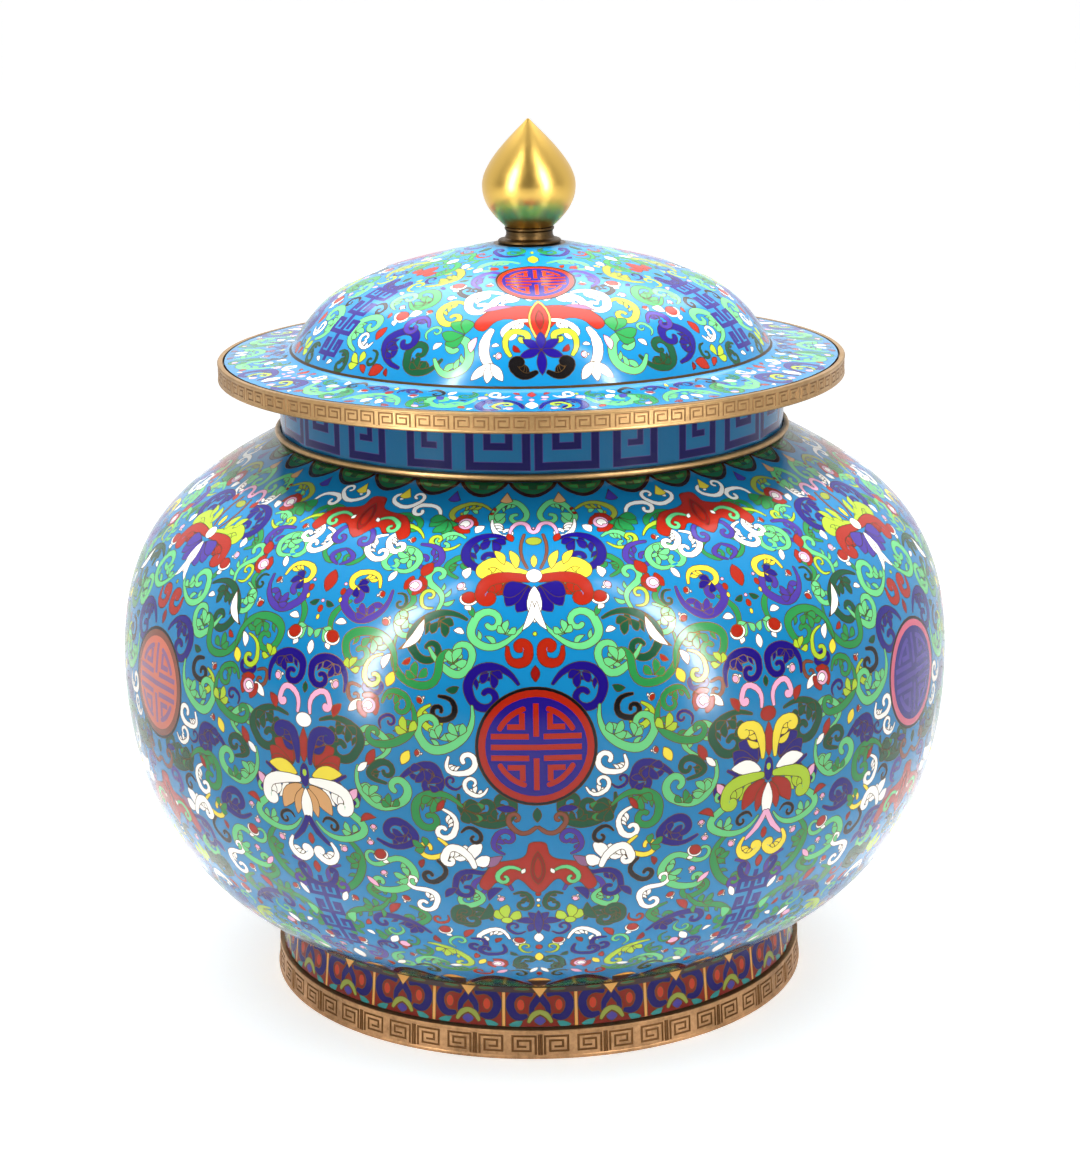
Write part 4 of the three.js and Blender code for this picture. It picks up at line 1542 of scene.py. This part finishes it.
def makeBody(finishes):
    parts = registers(belly, sideAngle, body["levels"], "ground", bodyMotifs)
    for part, name in zip(parts, body["names"]):
        shell = Shell()
        low, high = part.repeat(shell, sideCount, bodyRecolour)
        steps = [insideAt(s) for s in np.linspace(part.high, part.low, body["insideSteps"])]
        if part is parts[-1]:
            high = makeNeck(shell, high)
            inner = shell.chain(high, [insideAt(belly.length - body["shoulderInside"])], "wire")
        else:
            inner = shell.chain(high, steps[:1])
        if part is parts[0]:
            makeFoot(shell, low, inner, steps[1:-1])
        else:
            shell.strip(shell.chain(inner, steps[1:]), low, "inside")
        piece = shell.build(name, finishes)
        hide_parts("jar_body")
        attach(piece, "root")


def makeNeck(shell, shoulderRing):
    # The neck on top of the shoulder, and its inner wall
    base, mouth = jar["mouthHeight"] - jar["neckHeight"], jar["mouthHeight"]
    inside = jar["neckRadius"] - jar["wall"]
    line = Meridian([(jar["neckRadius"], base), (jar["neckRadius"], mouth)])
    # the neck's ground and bars are darkened as painted shade under the brim
    part = Register(line, body["neckSpan"], 0.3, jar["neckHeight"] - 0.5, "neckGround")
    neckMotifs(part)
    low, high = part.repeat(shell, sideCount)
    shell.strip(shoulderRing, low, "wire")
    lip = shell.chain(high, [(inside, mouth)], "wire")
    return shell.chain(lip, [(inside, base - 1.5)])


def makeFoot(shell, bodyRing, inner, innerWall):
    # The foot band under the body, the floor inside and the recess below it
    line = Meridian([(jar["footBandRadius"] + jar["footBandFlare"], jar["footBandBottom"]),
                     (jar["footBandRadius"], jar["footBandTop"])])
    part = Register(line, body["footBandSpan"], 0.5, line.length - 0.3, "bandRed")
    footBandMotifs(part)
    low, high = part.repeat(shell, body["footBandCopies"])
    shell.strip(high, bodyRing, "wire")
    floor = jar["footBandTop"] + jar["floorRise"]
    wall = [p for p in innerWall if p[1] > floor + 1]
    end = shell.chain(inner, wall + [(r, floor) for r in body["floorRadii"]])
    shell.cap(end, "inside", True)
    under = floor - jar["floorThickness"]
    inside = jar["footBandRadius"] - jar["footWall"]
    centre = ringAt((body["floorRadii"][-1], under))
    shell.cap(centre, "inside", False)
    end = shell.chain(centre, [(body["floorRadii"][-2], under), (inside, under),
                               (inside, jar["footBandBottom"])])
    shell.strip(end, low, "wire")


def makeLid(finishes):
    shell = Shell()
    edge, brimTop = lid["brimRadius"], lid["rimTop"] + lid["brimRise"]
    coveStart = lid["domeRadius"] + lid["coveWidth"]
    line = Meridian([(edge, lid["rimTop"]), (coveStart, brimTop)]
                    + [(r, brimTop + rise) for r, rise in brim["cove"]]
                    + [(brim["domeFoot"], lid["domeTop"] - lid["domeRise"])])
    brimPart = Register(line, sideAngle, 0.4, line.length - 0.05, "ground")
    brimMotifs(brimPart)
    brimLow, brimHigh = brimPart.repeat(shell, sideCount)
    domePart = Register(dome, brim["domeSpan"], 0.8, dome.length - 0.5, "ground")
    domeMotifs(domePart)
    domeLow, domeHigh = domePart.repeat(shell, brim["domeCopies"], domeRecolour, lidTurn)
    shell.strip(brimHigh, domeLow, "wire")
    shell.cap(domeHigh, "wire", True)

    # the inside, from the middle of the dome down to the collar and out under the brim
    centre = ringAt((brim["underDome"], lid["domeTop"] - lid["wall"]))
    shell.cap(centre, "inside", False)
    inner = [p for p in offsetOutline(domeOutline(16), lid["wall"])[::-1] if 14 < p[0] < 84]
    collar, collarInside = lid["collarRadius"], lid["collarRadius"] - lid["collarWall"]
    edgeUnder = lid["rimTop"] - lid["wall"]
    root = edgeUnder + (edge - collar) * (lid["brimRise"] / (edge - coveStart))
    end = shell.chain(centre, inner + [
        (collarInside, root), (collarInside, lid["collarBottom"]), (collar, lid["collarBottom"]),
        (collar, root), (edge, edgeUnder)])
    shell.strip(end, brimLow, "wire")
    piece = shell.build("lidDome", finishes)
    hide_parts("lid")
    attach(piece, "root")


def turnedPiece(name, node, outline, metal, segments, closed=False, crisp=False):
    # A closed outline goes right round the section; an open one ends near the axis and is capped
    shell = Shell()
    line = Meridian([*outline, outline[0]] if closed else outline)
    angles = np.arange(segments) * 360 / segments
    rings = [(angles, *line.place(angles, np.full(segments, s))) for s in line.along]
    if closed:
        rings[-1] = rings[0]
    for low, high in zip(rings[:-1], rings[1:]):
        shell.strip(low, high, "metal", crisp)
    if not closed:
        shell.cap(rings[0], "metal", False)
        shell.cap(rings[-1], "metal", True)
    piece = shell.build(name, {"metal": metal})
    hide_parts(node)
    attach(piece, "root")


finial = {
    "collar": [(11.0, 0), (11.2, 0.15), (11.2, 0.6), (10.9, 0.95), (9.4, 1.25), (8.8, 1.6), (8.3, 2.6),
               (8.3, 3.9), (8.8, 4.6)],  # radius, and rise over the collar's foot
    "collarHead": [(8.8, 0.2), (8.6, 0)],  # radius, and drop from its top
    "budFoot": 8.6,
    "budWidest": (16.6, 14.4),
    "budTip": 0.4,
}


def makeFinial():
    base, top = boxBottom("finial_collar"), boxTop("finial_collar")
    outline = ([(r, base + rise) for r, rise in finial["collar"]]
               + [(r, top - drop) for r, drop in finial["collarHead"]])
    turnedPiece("finialCollar", "finial_collar", outline, brassFinish("collarBrass"), 96,
                crisp=True)
    foot, tip = boxBottom("finial_bud"), boxTop("finial_bud")
    widest = (finial["budWidest"][0], foot + finial["budWidest"][1])
    lower = arcPoints((finial["budFoot"], foot), 42, 6.4, widest, -90, 6.05, 24)
    upper = arcPoints(widest, 90, 8.3, (finial["budTip"], tip), -47, 6.64, 30)
    turnedPiece("finialBud", "finial_bud", np.concatenate([lower, upper[1:]]), giltFinish(), 128)


neckBead = {
    "seat": 90.75,
    "bulge": 0.9,
    "turns": range(-80, 81, 20),
}

footRing = {
    "metals": ("footBrass", "footRecess"),
    "depth": 0.35,
    "count": 54,
    "width": 0.8,
    "fret": [[(-4.1, -3.2), (-4.1, 3.1), (3.9, 3.1), (3.9, -2.3), (-2.3, -2.3), (-2.3, 1.5), (2.1, 1.5),
              (2.1, -0.7), (-0.5, -0.7)],
             [(-5.3, -3.4), (-5.3, 3.4)]],
}

rimBand = {
    "metals": ("rimBrass", "rimRecess"),
    "depth": 0.16,
    "count": 108,
    "width": 0.58,
    "fret": [[(-2.3, -1.9), (-2.3, 1.9), (2.5, 1.9), (2.5, -1.3), (-1.0, -1.3), (-1.0, 0.7), (1.2, 0.7)]],
    "inside": 110.1,
}


def frettedRing(name, node, look, face, around):
    # A turned ring with a key fret cut into its outer face
    shell = Shell()
    line = Meridian(face)
    part = Register(line, 360 / look["count"], 0.05, line.length - 0.05, "metal", 4.0)
    for points in look["fret"]:
        part.bar("raised", points, look["width"], (part.span / 2, line.length / 2))
    low, high = part.repeat(shell, look["count"], lambda n, copy: n if n == "metal" else "recess",
                            0.0, -look["depth"])
    shell.strip(shell.chain(high, around, "metal", 180), low, "metal")
    metal, recess = look["metals"]
    piece = shell.build(name, {"metal": brassFinish(metal), "recess": brassFinish(recess)})
    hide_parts(node)
    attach(piece, "root")


def makeMetalRings():
    low, high = boxBottom("neck_ring"), boxTop("neck_ring")
    middle, half = (high + low) / 2, (high - low) / 2
    bulge, centre = neckBead["bulge"], boxRadius("neck_ring") - neckBead["bulge"]
    bead = [(centre + bulge * math.cos(math.radians(t)), middle + half * math.sin(math.radians(t)))
            for t in neckBead["turns"]]
    turnedPiece("neckRing", "neck_ring", [(neckBead["seat"], low), *bead, (neckBead["seat"], high)],
                brassFinish("rimBrass"), 180, closed=True)
    top = boxTop("foot_ring")
    frettedRing("footRing", "foot_ring", footRing, [(98.4, 1.25), (97.9, top - 1.25)], [
        (98.0, top - 1.0), (98.0, top - 0.2), (97.8, top), (92.8, top), (93.5, 0), (98.5, 0),
        (98.7, 0.2), (98.65, 1.0)])
    low, high, r = lid["rimBottom"], lid["rimTop"], lid["rimRadius"]
    face = r - rimBand["depth"]
    frettedRing("rimBand", "lid_rim_band", rimBand, [(face, low + 0.9), (face, high - 0.9)], [
        (r, high - 0.7), (r, high - 0.35), (r - 0.35, high), (rimBand["inside"], high),
        (rimBand["inside"], low), (r - 0.35, low), (r, low + 0.35), (r, low + 0.7)])


finishes = {name: enamelFinish(name, code) for name, code in enamelColours.items()}
finishes["wire"] = wireFinish()
print("finishes made")
makeBody(finishes)
print("body made")
makeLid(finishes)
makeFinial()
makeMetalRings()
print("lid, finial and metal rings made")


# Floor, soft studio light and camera

studio = {
    "floorSize": 60.0,
    "floorTone": 0.96,
    "floorGlow": 0.46,
    "tent": 1.22,  # brightness behind the jar and before it
    "tentFront": 0.02,
    "tentFrom": -0.45,  # the tent brightens from here, towards the back
    "tentTo": 0.3,
    "sides": {"left": -43, "right": 43},
}

# sizes in metres, power in watts; only panels light surfaces, the rest show as highlights
softboxes = {
    "panel": {"elevation": 36, "distance": 1.2, "width": 0.075, "height": 1.7, "power": 7.5,
              "target": (0, 0, 0.16), "lights": True},
    "streak": {"elevation": 24, "distance": 1.2, "width": 0.075, "height": 1.3, "power": 14.0,
               "target": (0, 0, 0.16), "lights": False},
    "haze": {"elevation": 56, "distance": 1.3, "width": 1.5, "height": 1.0, "power": 16.0,
             "target": (0, 0, 0.25), "lights": False},
}

topLight = {
    "power": 225.0,
    "cone": 17.0,
    "blend": 0.5,
    "radius": 0.16,
    "distance": 1.1,
    "away": (0, -0.1, 1),
    "target": (0, 0, 0.27),
}

cameraPlace = {
    "distance": 0.93363,
    "height": 0.39538,
    "yaw": 0.0023,
    "pitch": 0.2632,
    "roll": 0.0129,
    "focalPixels": 2631.8,
    "photoWidth": 1080,
    "sensor": 36,
}


def addObject(name, data):
    made = bpy.data.objects.new(name, data)
    bpy.context.scene.collection.objects.link(made)
    return made


def makeFloor():
    half = studio["floorSize"] / 2
    mesh = bpy.data.meshes.new("floor")
    corners = [(-half, -half, 0), (half, -half, 0), (half, half, 0), (-half, half, 0)]
    mesh.from_pydata(corners, [], [(0, 1, 2, 3)])
    floor = addObject("floor", mesh)
    made = Finish("floor_paper")
    tone = studio["floorTone"]
    made.set(Base_Color=(tone, tone, tone, 1.0), Roughness=0.7, Specular_IOR_Level=0.1,
             Emission_Color=(1.0, 1.0, 1.0, 1.0), Emission_Strength=studio["floorGlow"])
    mesh.materials.append(made.material)


def makeWorld():
    world = bpy.data.worlds.new("tent")
    world.use_nodes = True
    world.node_tree.nodes.clear()
    graph = Graph(world.node_tree)
    where = graph.node("TexCoord", {}, {}, "Generated")
    front = graph.node("SeparateXYZ", {}, {0: where}, "Y")
    ramp = graph.node("MapRange", {"interpolation_type": "SMOOTHSTEP"}, {
        "Value": front, "From Min": studio["tentFrom"], "From Max": studio["tentTo"],
        "To Min": studio["tentFront"], "To Max": studio["tent"]})
    graph.node("OutputWorld", {}, {"Surface": graph.node("Background", {}, {"Strength": ramp})})
    bpy.context.scene.world = world


def placeLamp(lamp, away, look):
    lamp.location = Vector(look["target"]) + away * look["distance"]
    lamp.rotation_euler = away.to_track_quat("Z", "Y").to_euler()


def makeSoftbox(name, azimuth, look):
    a, e = math.radians(azimuth), math.radians(look["elevation"])
    away = Vector((math.sin(a) * math.cos(e), -math.cos(a) * math.cos(e), math.sin(e)))
    light = bpy.data.lights.new(name, "AREA")
    light.shape = "RECTANGLE"
    light.size = look["width"]
    light.size_y = look["height"]
    light.energy = look["power"]
    lamp = addObject(name, light)
    placeLamp(lamp, away, look)
    lamp.visible_diffuse = look["lights"]


def makeTopLight():
    # A soft lamp high over the lid, no wider than its brim
    light = bpy.data.lights.new("overhead", "SPOT")
    light.energy = topLight["power"]
    light.shadow_soft_size = topLight["radius"]
    light.spot_size = math.radians(topLight["cone"])
    light.spot_blend = topLight["blend"]
    lamp = addObject("overhead", light)
    placeLamp(lamp, Vector(topLight["away"]).normalized(), topLight)
    lamp.visible_glossy = False


def makeCamera():
    yaw, pitch, roll = (cameraPlace[key] for key in ("yaw", "pitch", "roll"))
    side = Vector((math.cos(yaw), -math.sin(yaw), 0))
    ahead = Vector((math.sin(yaw), math.cos(yaw), 0))
    upward = Vector((0, 0, 1))
    look = math.cos(pitch) * ahead - math.sin(pitch) * upward
    rise = math.sin(pitch) * ahead + math.cos(pitch) * upward
    right = math.cos(roll) * side - math.sin(roll) * rise
    top = math.sin(roll) * side + math.cos(roll) * rise
    data = bpy.data.cameras.new("camera")
    data.sensor_fit = "HORIZONTAL"
    data.sensor_width = cameraPlace["sensor"]
    data.lens = cameraPlace["focalPixels"] / cameraPlace["photoWidth"] * cameraPlace["sensor"]
    camera = addObject("camera", data)
    place = Matrix((right, top, -look)).transposed().to_4x4()
    place.translation = Vector((0, -cameraPlace["distance"], cameraPlace["height"]))
    camera.matrix_world = place
    bpy.context.scene.camera = camera


makeFloor()
makeWorld()
for side, azimuth in studio["sides"].items():
    makeSoftbox(side + "_panel", azimuth, softboxes["panel"])
    makeSoftbox(side + "_streak", azimuth, softboxes["streak"])
makeSoftbox("lid_haze", 180, softboxes["haze"])
makeTopLight()
makeCamera()
bpy.context.scene.view_settings.view_transform = "Standard"
print("stage, lights and camera set")
